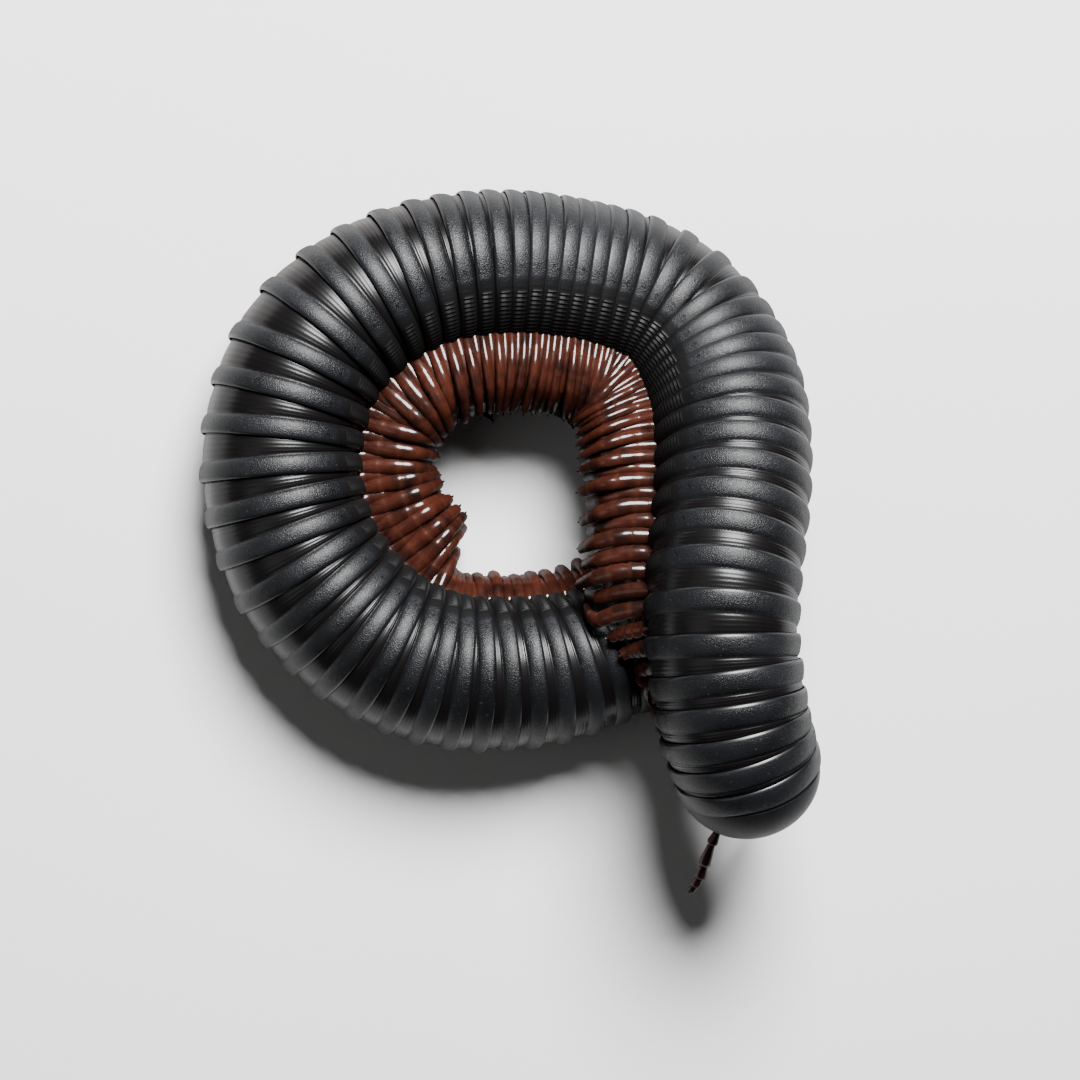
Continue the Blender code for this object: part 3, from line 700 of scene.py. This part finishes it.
# Darkness along a leg: painted shade at its root, where it comes out under the ring, and the claw's
# own dark near the tip.
LEG_ROOT_SHADE_AND_CLAW_DARK_AT = ((0.0, 0.5), (1.5, 0.2), (3.0, 0.0), (9.0, 0.0), (12.5, 0.3), (13.2, 0.8))
TIP_FROM = 8.6
SWEEP_GROWS = (0.3, 0.7, 1.3, 2.0)
SHARPEST_BEND = 75.0
LEG_SIDES = 8
LEG_BONES = (3.5, 3.3, 4.2, 3.2)
LEG_HALF_THICK = 0.6
LEG_BASE_ANGLE = 153.0
LEG_START = 0.84         # where the leg's path starts, as a share of the body's radius
LEG_MOUTH = 0.98         # where it leaves the body
PATH_POINTS = 40
PATH_ROUNDS = 5
FIRST_LEG_RING = 4
LAST_LEG_RING = 65
USUAL_PITCH = 2.5
LEG_PAIRS_AT = (0.74, 0.24)
LEG_STOUT = (0.95, 1.6)
# How the legs vary, in degrees: neighbours stand apart, and their sweep comes in waves.
LIFT_VARIES = 4.0
LIFT_STAGGER = (-4.0, 5.0)
SWEEP_VARIES = 2.0
SWEEP_WAVE = 5.0
WAVE_STEP = 0.42
SHORTEST = 0.95          # the shortest leg beside the longest
SHADE_MOST = 0.35
LEG_SPARE = 0.1
CLEAR = 0.5
FLOOR_CLEAR = 0.1
OWN_REACH = 32.0
# Slope of each leg bone above level on the upper side, at distances along the body, and the
# sweep towards the head, as in the solids.
UPPER_LEGS = (
    (0.0, (-85, -98, -100, -92), 0), (8.0, (-92, -102, -104, -94), 0),
    (12.0, (-80, -98, -102, -94), 8), (16.0, (-40, -80, -96, -94), 30),
    (20.0, (-10, -55, -80, -98), 42), (24.0, (-2, -42, -74, -90), 38),
    (29.0, (5, -36, -74, -88), 30), (36.0, (10, -30, -70, -86), 28),
    (50.0, (22, -12, -52, -78), 16), (70.0, (15, -14, -52, -78), 0),
    (100.0, (18, -10, -50, -78), 0), (125.0, (26, -6, -50, -76), 0),
    (145.0, (22, -6, -46, -72), -4), (154.0, (14, -16, -52, -75), -12),
    (162.0, (-48, -88, -118, -150), -6),
)
LOWER_LEGS = (
    (0.0, (-92, -85, -88, -90), 0), (14.0, (-92, -80, -82, -85), 10),
    (20.0, (-50, -70, -88, -98), 40), (24.0, (-20, -55, -85, -95), 40),
    (30.0, (-60, -62, -70, -80), 24), (36.0, (-80, -62, -62, -75), 20),
    (50.0, (-55, -48, -50, -50), 12), (70.0, (-60, -65, -55, -50), 22),
    (100.0, (-45, -48, -42, -40), 16), (125.0, (-8, -2, 0, -5), 8),
    (145.0, (-6, 5, -5, -15), 8), (158.0, (20, 62, -30, -80), 0),
)
SAMPLE_DISTANCES = np.arange(0.0, 203.5, 0.75)
SAMPLE_POINTS = np.array([LINE.at(d) for d in SAMPLE_DISTANCES])
SAMPLE_RADII = np.array([radius(d) for d in SAMPLE_DISTANCES])


def pushed_clear(point, own_distance):
    """Move a leg's point out of the floor and out of the body where it passes by."""
    point = np.array(point, float)
    for _ in range(3):
        away = point - SAMPLE_POINTS
        depth = SAMPLE_RADII + CLEAR + LEG_HALF_THICK - np.linalg.norm(away, axis=1)
        depth[np.abs(SAMPLE_DISTANCES - own_distance) < OWN_REACH] = -1.0
        worst = int(np.argmax(depth))
        if depth[worst] > 0:
            point = point + unit(away[worst]) * depth[worst]
        point[2] = max(point[2], FLOOR_CLEAR + LEG_HALF_THICK)
    return point


def leg_path(distance, side, table, lift, extra_sweep):
    """Points down a leg's middle, from inside the ring to the claw."""
    centre, _, outward, back, right = body_frame(distance)
    size = radius(distance)
    base = leaning(back, side * right, LEG_BASE_ANGLE)
    slopes = in_steps(table, distance) + lift
    sweep = in_steps(table, distance, 2)[0] + extra_sweep
    level = unit(np.array((-outward[0], -outward[1], 0.0)))
    if table is UPPER_LEGS:
        slopes[:2] += LEG_STRAIGHT * abs(level[0]) * (slopes[:2].mean() - slopes[:2])
    here = centre + base * size * LEG_MOUTH
    points = [centre + base * size * LEG_START, here]
    for bone, slope, grows in zip(LEG_BONES, slopes, SWEEP_GROWS):
        here = here + bone * leaning(rotated(level, UP, sweep * grows), UP, slope)
        here = pushed_clear(here, distance)
        turn = np.dot(unit(here - points[-1]), unit(points[-1] - points[-2]))
        if turn < math.cos(math.radians(SHARPEST_BEND)) and len(points) > 2:
            break
        points.append(here)
    return np.array(points), unit(np.cross(level, UP))


def rounded_path(points):
    """The path with its bends rounded, as close points."""
    places = distances_along(points)
    line = read_line(np.linspace(0.0, places[-1], PATH_POINTS), places, points)
    for _ in range(PATH_ROUNDS):
        line[1:-1] = (line[:-2] + 2.0 * line[1:-1] + line[2:]) / 4.0
    return line


def model_leg():
    """A straight leg of six parts and a claw, with a keel along its upper side."""
    stations = [(0.0, LEG_ROOT_HALF)]
    start, before = 0.0, LEG_ROOT_HALF
    for length, half in LEG_PARTS:
        for share, swell in PART_SHAPE:
            stations.append((start + share * length, (before + (half - before) * share) * swell))
        start, before = start + length, half
    stations.extend((start + place, half) for place, half in CLAW)
    leg = stem("leg_master", LEG_SIDES, stations)
    pick(leg, lambda place: place.z > KEEL_FROM * math.hypot(place.y, place.z))
    stretch(1.0, 1.0, LEG_KEEL)
    close_shell()
    for vertex in leg.data.vertices:
        share = max(0.0, (vertex.co.x - start) / CLAW[-1][0])
        vertex.co.z -= CLAW_DROP * share ** 2
    ends = np.cumsum([length for length, _ in LEG_PARTS])

    def at_joint(place):
        return 1.0 - min(1.0, min(abs(place.x - end) for end in ends) / JOINT_REACH)

    # The dark value is painted shade near the root and the claw's own dark near the tip.
    give_values(leg, knuckle=at_joint, dark=lambda place: in_steps(LEG_ROOT_SHADE_AND_CLAW_DARK_AT, place.x)[0])
    return leg


def leg_places(first, last):
    """The leg pairs of a run of rings: distance, and how much stouter where rings are far apart."""
    places = []
    for ring in range(max(first, FIRST_LEG_RING), min(last, LAST_LEG_RING) + 1):
        pitch = rim(ring) - rim(ring - 1)
        stout = min(max(pitch / USUAL_PITCH, LEG_STOUT[0]), LEG_STOUT[1])
        shares = (0.5,) if ring == FIRST_LEG_RING else LEG_PAIRS_AT
        places.extend((rim(ring) - share * pitch, stout) for share in shares)
    return places


def bent_leg(local, distance, stout, side, number, draw):
    """The leg's points bent along its path down from the body."""
    table = UPPER_LEGS if side > 0 else LOWER_LEGS
    lift = draw.uniform(-LIFT_VARIES, LIFT_VARIES) + LIFT_STAGGER[number % 2]
    sweep = draw.uniform(-SWEEP_VARIES, SWEEP_VARIES)
    sweep += SWEEP_WAVE * math.sin(distance * WAVE_STEP + side)
    points, across = leg_path(distance, side, table, lift, sweep)
    line = rounded_path(points)
    places = distances_along(line)
    whole = sum(length for length, _ in LEG_PARTS) + CLAW[-1][0]
    scale = min(1.0, (places[-1] - LEG_SPARE) / whole) * draw.uniform(SHORTEST, 1.0)
    along = unit(np.gradient(line, axis=0))
    beside = unit(across - along * (along @ across)[:, None])
    over = np.cross(along, beside)
    wanted = np.clip(local[:, 0] * scale, 0.0, places[-1])
    spine, beside, over = (read_line(wanted, places, values) for values in (line, beside, over))
    return spine + local[:, 1:2] * stout * beside + local[:, 2:3] * over


def build_legs(finish, tip_finish):
    """A piece for each length of the body, of that length's legs. Their tips are duller."""
    master = model_leg()
    local = points_of(master)
    on_tip = [face.center.x > TIP_FROM for face in master.data.polygons]
    draw = random.Random(5)
    number = 0
    for length, (first, last) in LENGTHS:
        placed = []
        for distance, stout in leg_places(first, last):
            number += 1
            placed.extend(bent_leg(local, distance, stout, side, number, draw) for side in (1, -1))
        shades = [draw.uniform(0.0, SHADE_MOST) for _ in placed]
        piece = placed_as_one("legs_%d" % length, master, placed, shade=shades)
        rest_on_floor(piece)
        finish_piece(piece, finish, ["trunk_%d" % length])
        piece.data.materials.append(tip_finish)
        piece.data.polygons.foreach_set("material_index", on_tip * len(placed))
    discard(master)


# The front end. Its pieces are modelled in the head's own directions, in millimetres: x to the
# animal's right, y ahead of the neck and z towards the back, from the neck's hinge.

HINGE_TURN = 11.0        # degrees between the third ring and the shield
COLLUM_HALF = (8.75, 7.85, 8.95)
COLLUM_DROP = 1.27       # how much longer the shield's sides reach down
COLLUM_SHELL = 0.93
COLLUM_RIM = 0.16
COLLUM_REACH = 12.0
# Half of the shield's outline from the side: ahead and back, from its rear edge over the top
# to the face, and round the side lobe.
COLLUM_OUTLINE = (
    (1.72, 10.5), (0.45, 2.5), (-0.15, 0.2), (-0.45, -2.5), (-0.2, -4.6), (0.5, -5.8),
    (1.4, -6.2), (2.3, -5.6), (3.1, -4.0), (3.7, -2.2), (4.6, -0.7), (6.0, 0.1), (9.5, 0.25),
    (9.5, 10.5),
)
SKIN_STEP = 0.2
CRANIUM_AT = (0.0, 2.2, -3.6)
CRANIUM_HALF = (6.3, 5.0, 7.0)
# The face's swellings: middle and half size.
FACE_SWELLINGS = (
    ((0.0, 4.2, -6.6), (4.6, 3.0, 4.0)),
    ((0.0, 4.3, -9.4), (3.6, 1.9, 2.2)),
    ((0.0, 1.8, -8.2), (3.6, 2.6, 3.6)),
)
# The paired plates round the mouth: middle, half size, and steps round and along.
MOUTH_PAIRS = (
    ("jaw", (4.1, 2.3, -8.0), (2.2, 2.6, 3.2), 32, 20),
    ("jaw_base", (4.9, 2.0, -5.4), (1.7, 2.2, 1.7), 32, 20),
    ("chin", (1.72, -0.3, -9.0), (1.58, 0.9, 3.2), 32, 20),
    ("palp", (1.1, 0.5, -12.0), (0.62, 0.55, 0.8), 20, 12),
)
CHIN_MIDDLE = ("chin_middle", (0.0, -0.75, -7.0), (1.3, 0.7, 2.2))
UPPER_LIP = ("upper_lip", (0.0, 5.0, -11.1), (2.9, 0.75, 0.75), 40, 16)
LIP_GAPS_AT = ((-0.82, 5.2, -12.0), (0.27, 5.2, -12.0), (0.82, 5.2, -12.0))
LIP_GAP_HALF = (0.14, 1.2, 0.55)
NECK_SKIN_HALF = (8.5, 1.3, 8.5)
# The second ring is cut along its lower edge, and turns by its distance from the hinge.
SECOND_CUT = (0.0, 0.0, -0.4)
SECOND_RADIUS = 9.05
SECOND_LOWEST = 0.2
SECOND_MOST_TURN = 1.7
EYE_AT = (5.3, 4.8, -2.6)
EYE_HALF = (0.95, 1.7)
EYE_STEP = 0.20
LENS_SPACING = 0.98      # as a share of the step, along a row and between rows
LENS_HALF = 0.54
LENS_FLAT = 0.9
LENS_LIFT = 0.02
ROW_ROUND = 0.6          # how blunt the eye's oval is at its ends
ROW_NARROWS = 0.72       # the skin turns away there, so a row spans less from side to side
ANTENNA_ROOT = (3.9, 6.6, -3.9)
ANTENNA_BONES = (1.0, 1.9, 3.3, 2.1, 1.6, 1.2, 0.5)
ANTENNA_OVERLAP = 1.02
ANTENNA_HALF_THICK = (0.66, 0.70, 0.78, 0.78, 0.70, 0.54, 0.30)
# Slope of each antenna bone above level, and its turn away from straight ahead.
RIGHT_ANTENNA = ((-20, -25, -32, -38, -42, -45, -50), (45, 42, 34, 30, 40, 48, 60))
LEFT_ANTENNA = ((-40, -60, -75, -85, -80, -75, -70), (30, 30, 40, 60, 70, 80, 80))
SIDES = ((1.0, "right"), (-1.0, "left"))


# Where the body's line ends, the directions there, and the hinge of the collum.
NECK, TAILWARD, _, BACK, RIGHT = body_frame(NECK_AT)
AHEAD = -TAILWARD
PIVOT = NECK + GAP * AHEAD + GAP * leaning(AHEAD, BACK, -HINGE_TURN)
HEAD_AXES = np.array((RIGHT, AHEAD, BACK))


def to_world(thing, pivot, axes):
    """Keep the piece's own coordinates as point values, then set its points in the world."""
    local = points_of(thing)
    for name, column in zip(("side", "ahead", "high"), local.T):
        add_values(thing.data, name, column.astype(np.float32))
    set_points(thing, pivot + local @ np.array(axes))


def mirrored(at, side):
    return at[0] * side, at[1], at[2]


def ball(name, at, half, around=32, rings=20):
    """A sphere stretched to its half sizes, poles to the sides."""
    bpy.ops.mesh.primitive_uv_sphere_add(segments=around, ring_count=rings, radius=1.0,
                                         location=ORIGIN)
    thing = newly_added(name)
    edit(thing)
    stretch(*half)
    bpy.ops.transform.translate(value=at)
    leave_edit()
    return thing


def collum_block():
    """A block from the shield's outline, reaching to both sides."""
    block = traced("collum_outline", [Vector((-COLLUM_REACH, y, z)) for y, z in COLLUM_OUTLINE])
    take_all()
    bpy.ops.mesh.edge_face_add()
    across = (2.0 * COLLUM_REACH, 0.0, 0.0)
    bpy.ops.mesh.extrude_region_move(TRANSFORM_OT_translate={"value": across})
    close_shell()
    return block


def cut(base, operation, other):
    """Apply a Boolean with another piece, then remove that piece."""
    modify(base, "BOOLEAN", operation=operation, solver="EXACT", object=other)
    discard(other)


def collum_blank(name, share):
    """The shield's full rounded form, its lower half drawn down into the side lobes."""
    blank = ball(name, ORIGIN, tuple(h * share for h in COLLUM_HALF), 96, 64)
    edit(blank)
    pick(blank, lambda place: place.z < -0.01)
    stretch(1.0, 1.0, COLLUM_DROP)
    leave_edit()
    return blank


def build_collum(finish):
    """The collar shield: a thin hood cut to its outline, with rounded rims."""
    collum = collum_blank("collum_shield", 1.0)
    cut(collum, "DIFFERENCE", collum_blank("collum_inside", COLLUM_SHELL))
    cut(collum, "INTERSECT", collum_block())
    modify(collum, "BEVEL", width=COLLUM_RIM, segments=3, limit_method="ANGLE",
           angle_limit=math.radians(50.0))
    to_world(collum, PIVOT, HEAD_AXES)
    finish_piece(collum, finish, ["collum"], 45.0)


def build_second_ring(finish):
    """The short second ring, a wedge between the third ring and the collum."""
    ring = model_ring()
    ring.name = "second_ring_band"
    edit(ring)
    bpy.ops.mesh.bisect(plane_co=SECOND_CUT, plane_no=(0.0, 0.0, 1.0), clear_inner=True, use_fill=True)
    leave_edit()
    local = points_of(ring)
    share = -local[:, 0] / BAND_LENGTH
    turn = np.radians(HINGE_TURN) * np.minimum(share, SECOND_MOST_TURN)
    size = SECOND_RADIUS / RING_RADIUS
    height = np.maximum(local[:, 2] * size, SECOND_LOWEST)[:, None]
    lifted = height * (np.cos(turn)[:, None] * BACK + np.sin(turn)[:, None] * AHEAD)
    set_points(ring, NECK + GAP * AHEAD + lifted + local[:, 1:2] * size * RIGHT)
    give_values(ring, tone=lambda place: 0.0)
    finish_piece(ring, finish, ["second_ring"], 50.0)


def build_capsule(finish):
    """The head's capsule: its swellings are joined and smoothed into one skin."""
    capsule = ball("head_capsule", CRANIUM_AT, CRANIUM_HALF, 48, 32)
    for at, half in FACE_SWELLINGS:
        cut(capsule, "UNION", ball("swelling", at, half))
    modify(capsule, "REMESH", mode="VOXEL", voxel_size=SKIN_STEP)
    modify(capsule, "SMOOTH", factor=0.8, iterations=12)
    to_world(capsule, PIVOT, HEAD_AXES)
    finish_piece(capsule, finish, ["head"])


def build_mouthparts(finish):
    """Jaws, chin plates and the toothed upper lip, each a plate of its own."""
    plates = []
    for side, word in SIDES:
        for name, at, half, around, rings in MOUTH_PAIRS:
            plates.append(ball("%s_%s" % (name, word), mirrored(at, side), half, around, rings))
    plates.append(ball(*CHIN_MIDDLE))
    lip = ball(*UPPER_LIP)
    for at in LIP_GAPS_AT:
        cut(lip, "DIFFERENCE", ball("lip_gap", at, LIP_GAP_HALF, 16, 10))
    plates.append(lip)
    for plate in plates:
        to_world(plate, PIVOT, HEAD_AXES)
        finish_piece(plate, finish, ["head"])


def build_neck_skin(finish):
    """The skin that closes the front of the third ring behind the head."""
    skin = ball("neck_skin", ORIGIN, NECK_SKIN_HALF, 40, 20)
    to_world(skin, NECK, HEAD_AXES)
    finish_piece(skin, finish, ["head"])


def surface_point(x, z):
    """A point of the cranium's front half over its side and height, and the way out there."""
    middle, half = np.array(CRANIUM_AT), np.array(CRANIUM_HALF)
    share = (np.array((x, 0.0, z)) - middle) / half
    share[1] = math.sqrt(max(0.0, 1.0 - share[0] ** 2 - share[2] ** 2))
    return middle + share * half, unit(share / half)


def build_eyes(finish):
    """Each eye is an oval field of small round lenses in rows."""
    bead = ball("eye_facet_master", ORIGIN, (1.0, 1.0, 1.0), 10, 7)
    step = EYE_STEP * LENS_SPACING
    size = EYE_STEP * LENS_HALF
    rows = int(EYE_HALF[1] / EYE_STEP)
    for side, word in SIDES:
        places = []
        for row in range(-rows, rows + 1):
            wide = EYE_HALF[0] * math.sqrt(max(0.0, 1.0 - (row / (rows + ROW_ROUND)) ** 2))
            count = int(wide / EYE_STEP)
            for k in range(-count, count + 1):
                shift = (k + 0.5 * (row % 2)) * step * ROW_NARROWS
                point, out = surface_point((EYE_AT[0] + shift) * side, EYE_AT[2] + row * step)
                across = unit(np.cross(out, UP))
                flat = (across, out, np.cross(across, out))
                places.append((flat, point + LENS_LIFT * out, (size, size * LENS_FLAT, size)))
        eye = copies_as_one("eye_lenses_" + word, bead, places)
        set_points(eye, PIVOT + points_of(eye) / MM @ HEAD_AXES)
        finish_piece(eye, finish, ["eye_" + word])
    discard(bead)


ANTENNA_SIDES = 18
# One bone's outline: share of its length and of its half thickness, slim at the root.
ANTENNA_OUTLINE = (
    (0.00, 0.50), (0.06, 0.60), (0.30, 0.72), (0.62, 0.88), (0.84, 1.00), (0.95, 0.96),
    (1.00, 0.72), (1.01, 0.36),
)
# A small cone at an antenna's tip: its own outline, its length and its half thickness.
CONE_OUTLINE = ((0.0, 1.0), (1.0, 0.45))
CONE_SIZE = (0.22, 0.09, 0.09)
CONE_SPREAD = 0.2
CONE_SINK = 0.05
BONE_END = 0.9           # where a bone's paler end begins
ANTENNA_DARKNESS = (0.0, 0.0, 0.0, 0.05, 0.15, 0.40, 0.70)


def model_antenna_shape(name, sides, outline, knuckle):
    """A bone or a cone of an antenna, with its paler end marked."""
    shape = stem(name, sides, outline)
    close_shell()
    give_values(shape, knuckle=lambda place: knuckle if place.x > BONE_END else 0.0)
    return shape


def build_antennae(finish):
    """Two antennae of seven bones, each with four small cones at its tip."""
    bone_master = model_antenna_shape("antenna_bone_master", ANTENNA_SIDES, ANTENNA_OUTLINE, 0.8)
    cone_master = model_antenna_shape("cone_master", LEG_SIDES, CONE_OUTLINE, 0.0)
    level_ahead = unit(np.array((AHEAD[0], AHEAD[1], 0.0)))
    for (side, word), pose in zip(SIDES, (RIGHT_ANTENNA, LEFT_ANTENNA)):
        root = mirrored(ANTENNA_ROOT, side)
        here = PIVOT + root[0] * RIGHT + root[1] * AHEAD + root[2] * BACK
        bones = []
        for bone, half, slope, turn in zip(ANTENNA_BONES, ANTENNA_HALF_THICK, *pose):
            along = leaning(rotated(level_ahead, UP, -turn * side), UP, slope)
            across = unit(np.cross(along, UP))
            over = np.cross(along, across)
            bones.append(((along, across, over), here, (bone * ANTENNA_OVERLAP, half, half)))
            here = here + bone * along
        tips = []
        for k in range(4):
            spread = CONE_SPREAD * leaning(across, over, 45.0 + 90.0 * k)
            tips.append(((along, across, over), here + spread - CONE_SINK * along, CONE_SIZE))
        piece = copies_as_one("feeler_" + word, bone_master, bones, dark=ANTENNA_DARKNESS)
        cones = copies_as_one("feeler_cones", cone_master, tips, dark=[0.0] * len(tips))
        select_only(piece)
        cones.select_set(True)
        bpy.ops.object.join()
        finish_piece(piece, finish, ["antenna_" + word])
    discard(bone_master)
    discard(cone_master)


def shield_finish():
    """The collum's satin black skin, with a few grooves along its side lobes."""
    material, net = new_material("shield_chitin", 0.42, 0.08)
    grain, colour = grained(net, SATIN_BLACK)
    net.gloss(0.10, 0.36)
    rough = net.spread(grain["Cloud"], 0.25, 0.75, 0.38, 0.50)
    on_lobe = net.spread(net.attribute("high"), 0.6, -0.8)
    lines = net.sums("SINE", net.times(net.attribute("ahead"), 9.5))
    grooves = net.times(net.times(lines, 1.6), on_lobe)
    net.dress(colour, rough, net.plus(grain["Height"], grooves), 0.7, 0.00006)
    return material


FACE_BLACK = (0.0040, 0.0028, 0.0024)
FACE_BROWN = (0.0200, 0.0080, 0.0048)


def face_finish():
    """Dark on the crown and browner towards the mouth, with a fine line down the middle."""
    material, net = new_material("face_chitin", 0.34, 0.12)
    net.gloss(0.6, 0.26)
    place = net.place()
    cloud = net.noise(place, 260.0, 3.0)
    down = net.spread(net.attribute("high"), -2.0, -10.5)
    share = net.times(down, net.spread(cloud, 0.25, 0.75, 0.6, 1.0))
    colour = net.mix(share, FACE_BLACK, FACE_BROWN)
    rough = net.spread(cloud, 0.3, 0.7, 0.28, 0.42)
    across = net.sums("ABSOLUTE", net.attribute("side"))
    line = net.times(net.spread(across, 0.16, 0.04), net.spread(net.attribute("high"), -5.4, -4.6))
    pits = net.spread(net.noise(place, 3800.0, 1.0), 0.30, 0.42, -0.4, 0.0)
    net.dress(colour, rough, net.minus(pits, line), 0.7, 0.00008)
    return material


EYE_DARK = (0.004, 0.004, 0.005)
EYE_PALE = (0.010, 0.008, 0.007)


def eye_finish():
    material, net = new_material("eye_gloss", 0.1, 0.5)
    tint = net.mix(net.noise(net.place(), 900.0, 2.0), EYE_DARK, EYE_PALE)
    net.join(tint, net.shader.inputs["Base Color"])
    return material


# The rear end

LAST_RING = 68
# The last ring's outline behind the last rim: distance and radius, out and back inside.
TELSON_OUTLINE = (
    (-0.6, 4.05), (0.2, 4.28), (1.0, 4.30), (1.8, 4.22), (2.8, 3.98), (3.7, 3.50), (4.3, 2.95),
    (4.55, 2.62), (4.5, 2.45), (4.0, 2.6), (3.0, 3.1),
)
TELSON_STEPS = 64
TELSON_WALL = 0.12
VALVE_AT = (1.22, 3.5, -0.3)
VALVE_HALF = (1.42, 2.35, 2.75)
SCALE_AT = (0.0, 3.3, -3.0)
SCALE_HALF = (1.5, 1.3, 0.55)


def build_telson(finish, valve_finish):
    """The legless last ring, its two valves and the small scale under them."""
    centre, tailward, _, back, right = body_frame(rim(LAST_RING))
    cap = traced("telson_ring", [Vector((0.0, y, z)) for y, z in TELSON_OUTLINE])
    take_all()
    spun(TELSON_STEPS, 360.0, (0.0, 1.0, 0.0))
    close_shell()
    modify(cap, "SOLIDIFY", thickness=TELSON_WALL)
    pieces = [(cap, finish)]
    for side, word in SIDES:
        valve = ball("valve_" + word, mirrored(VALVE_AT, side), VALVE_HALF, 40, 28)
        pieces.append((valve, valve_finish))
    pieces.append((ball("scale_under_valves", SCALE_AT, SCALE_HALF), valve_finish))
    for piece, skin in pieces:
        to_world(piece, centre, (right, tailward, back))
        rest_on_floor(piece)
        finish_piece(piece, skin, ["telson"])


def plain_black_finish(name, roughness):
    """Dark, finely pebbled skin for the small plates."""
    material, net = new_material(name, roughness, 0.3)
    grain, colour = grained(net, GLOSSY_BLACK)
    rough = net.spread(grain["Cloud"], 0.25, 0.75, roughness - 0.06, roughness + 0.08)
    net.dress(colour, rough, grain["Height"], 0.6, 0.00005)
    return material


# Camera, floor and light

LOOK_AT = (4.84, 0.11, 10.0)       # millimetres
CAMERA_AWAY = 380.0
CAMERA_LEAN = (-8.7, -1.0)         # degrees off the vertical, to the side and downwards
PHOTO_WIDTH = 1080
FOCAL_PIXELS = 3002.0
SENSOR = 36.0
FLOOR_GREYS = ((0.52, 0.52, 0.52), (0.55, 0.55, 0.55))
# Each light: where it stands in metres, its width and its power.
LIGHTS = (
    ("key", (0.05, 0.31, 0.42), 0.28, 18.5),
    ("fill", (-0.40, -0.10, 0.40), 0.35, 0.3),
)
LIGHTS_AIM = 0.01                  # metres above the floor
SKY_POWER = 0.04


def place_camera():
    data = bpy.data.cameras.new("camera")
    camera = new_object("camera", data)
    side, down = (math.sin(math.radians(a)) for a in CAMERA_LEAN)
    backward = Vector((side, down, math.sqrt(1.0 - side * side - down * down)))
    right = Vector((0.0, 1.0, 0.0)).cross(backward).normalized()
    above = backward.cross(right)
    turned = Matrix((right, above, backward)).transposed().to_4x4()
    turned.translation = (Vector(LOOK_AT) + CAMERA_AWAY * backward) * MM
    camera.matrix_world = turned
    data.sensor_width = SENSOR
    data.lens = SENSOR * FOCAL_PIXELS / PHOTO_WIDTH
    data.clip_start = 0.01
    data.clip_end = 20.0
    bpy.context.scene.camera = camera


def place_floor():
    bpy.ops.mesh.primitive_plane_add(size=6.0, location=ORIGIN)
    floor = newly_added("floor")
    material, net = new_material("floor_paper", 0.8, 0.2)
    cloud = net.spread(net.noise(net.place(), 12.0, 3.0), 0.2, 0.8)
    net.join(net.mix(cloud, *FLOOR_GREYS), net.shader.inputs["Base Color"])
    floor.data.materials.append(material)


def place_lights():
    for name, where, size, power in LIGHTS:
        data = bpy.data.lights.new(name, "AREA")
        data.shape = "DISK"
        data.size = size
        data.energy = power
        light = new_object(name, data)
        light.location = Vector(where)
        aim = Vector((0.0, 0.0, LIGHTS_AIM)) - light.location
        light.rotation_euler = aim.to_track_quat("-Z", "Y").to_euler()
    world = bpy.data.worlds.new("studio")
    world.use_nodes = True
    sky = world.node_tree.nodes["Background"]
    set_inputs(sky, Color=(1.0, 1.0, 1.0, 1.0), Strength=SKY_POWER)
    bpy.context.scene.world = world


def build_everything():
    place_camera()
    place_floor()
    place_lights()
    ring_skin = ring_finish()
    build_rings(ring_skin)
    build_legs(leg_finish("leg_chitin", 0.42), leg_finish("leg_tip_chitin", 0.25))
    build_second_ring(ring_skin)
    build_collum(shield_finish())
    face = face_finish()
    build_neck_skin(face)
    build_capsule(face)
    build_mouthparts(face)
    build_eyes(eye_finish())
    build_antennae(leg_finish("antenna_chitin", 0.4))
    build_telson(plain_black_finish("telson_chitin", 0.38), plain_black_finish("valve_chitin", 0.30))


build_everything()
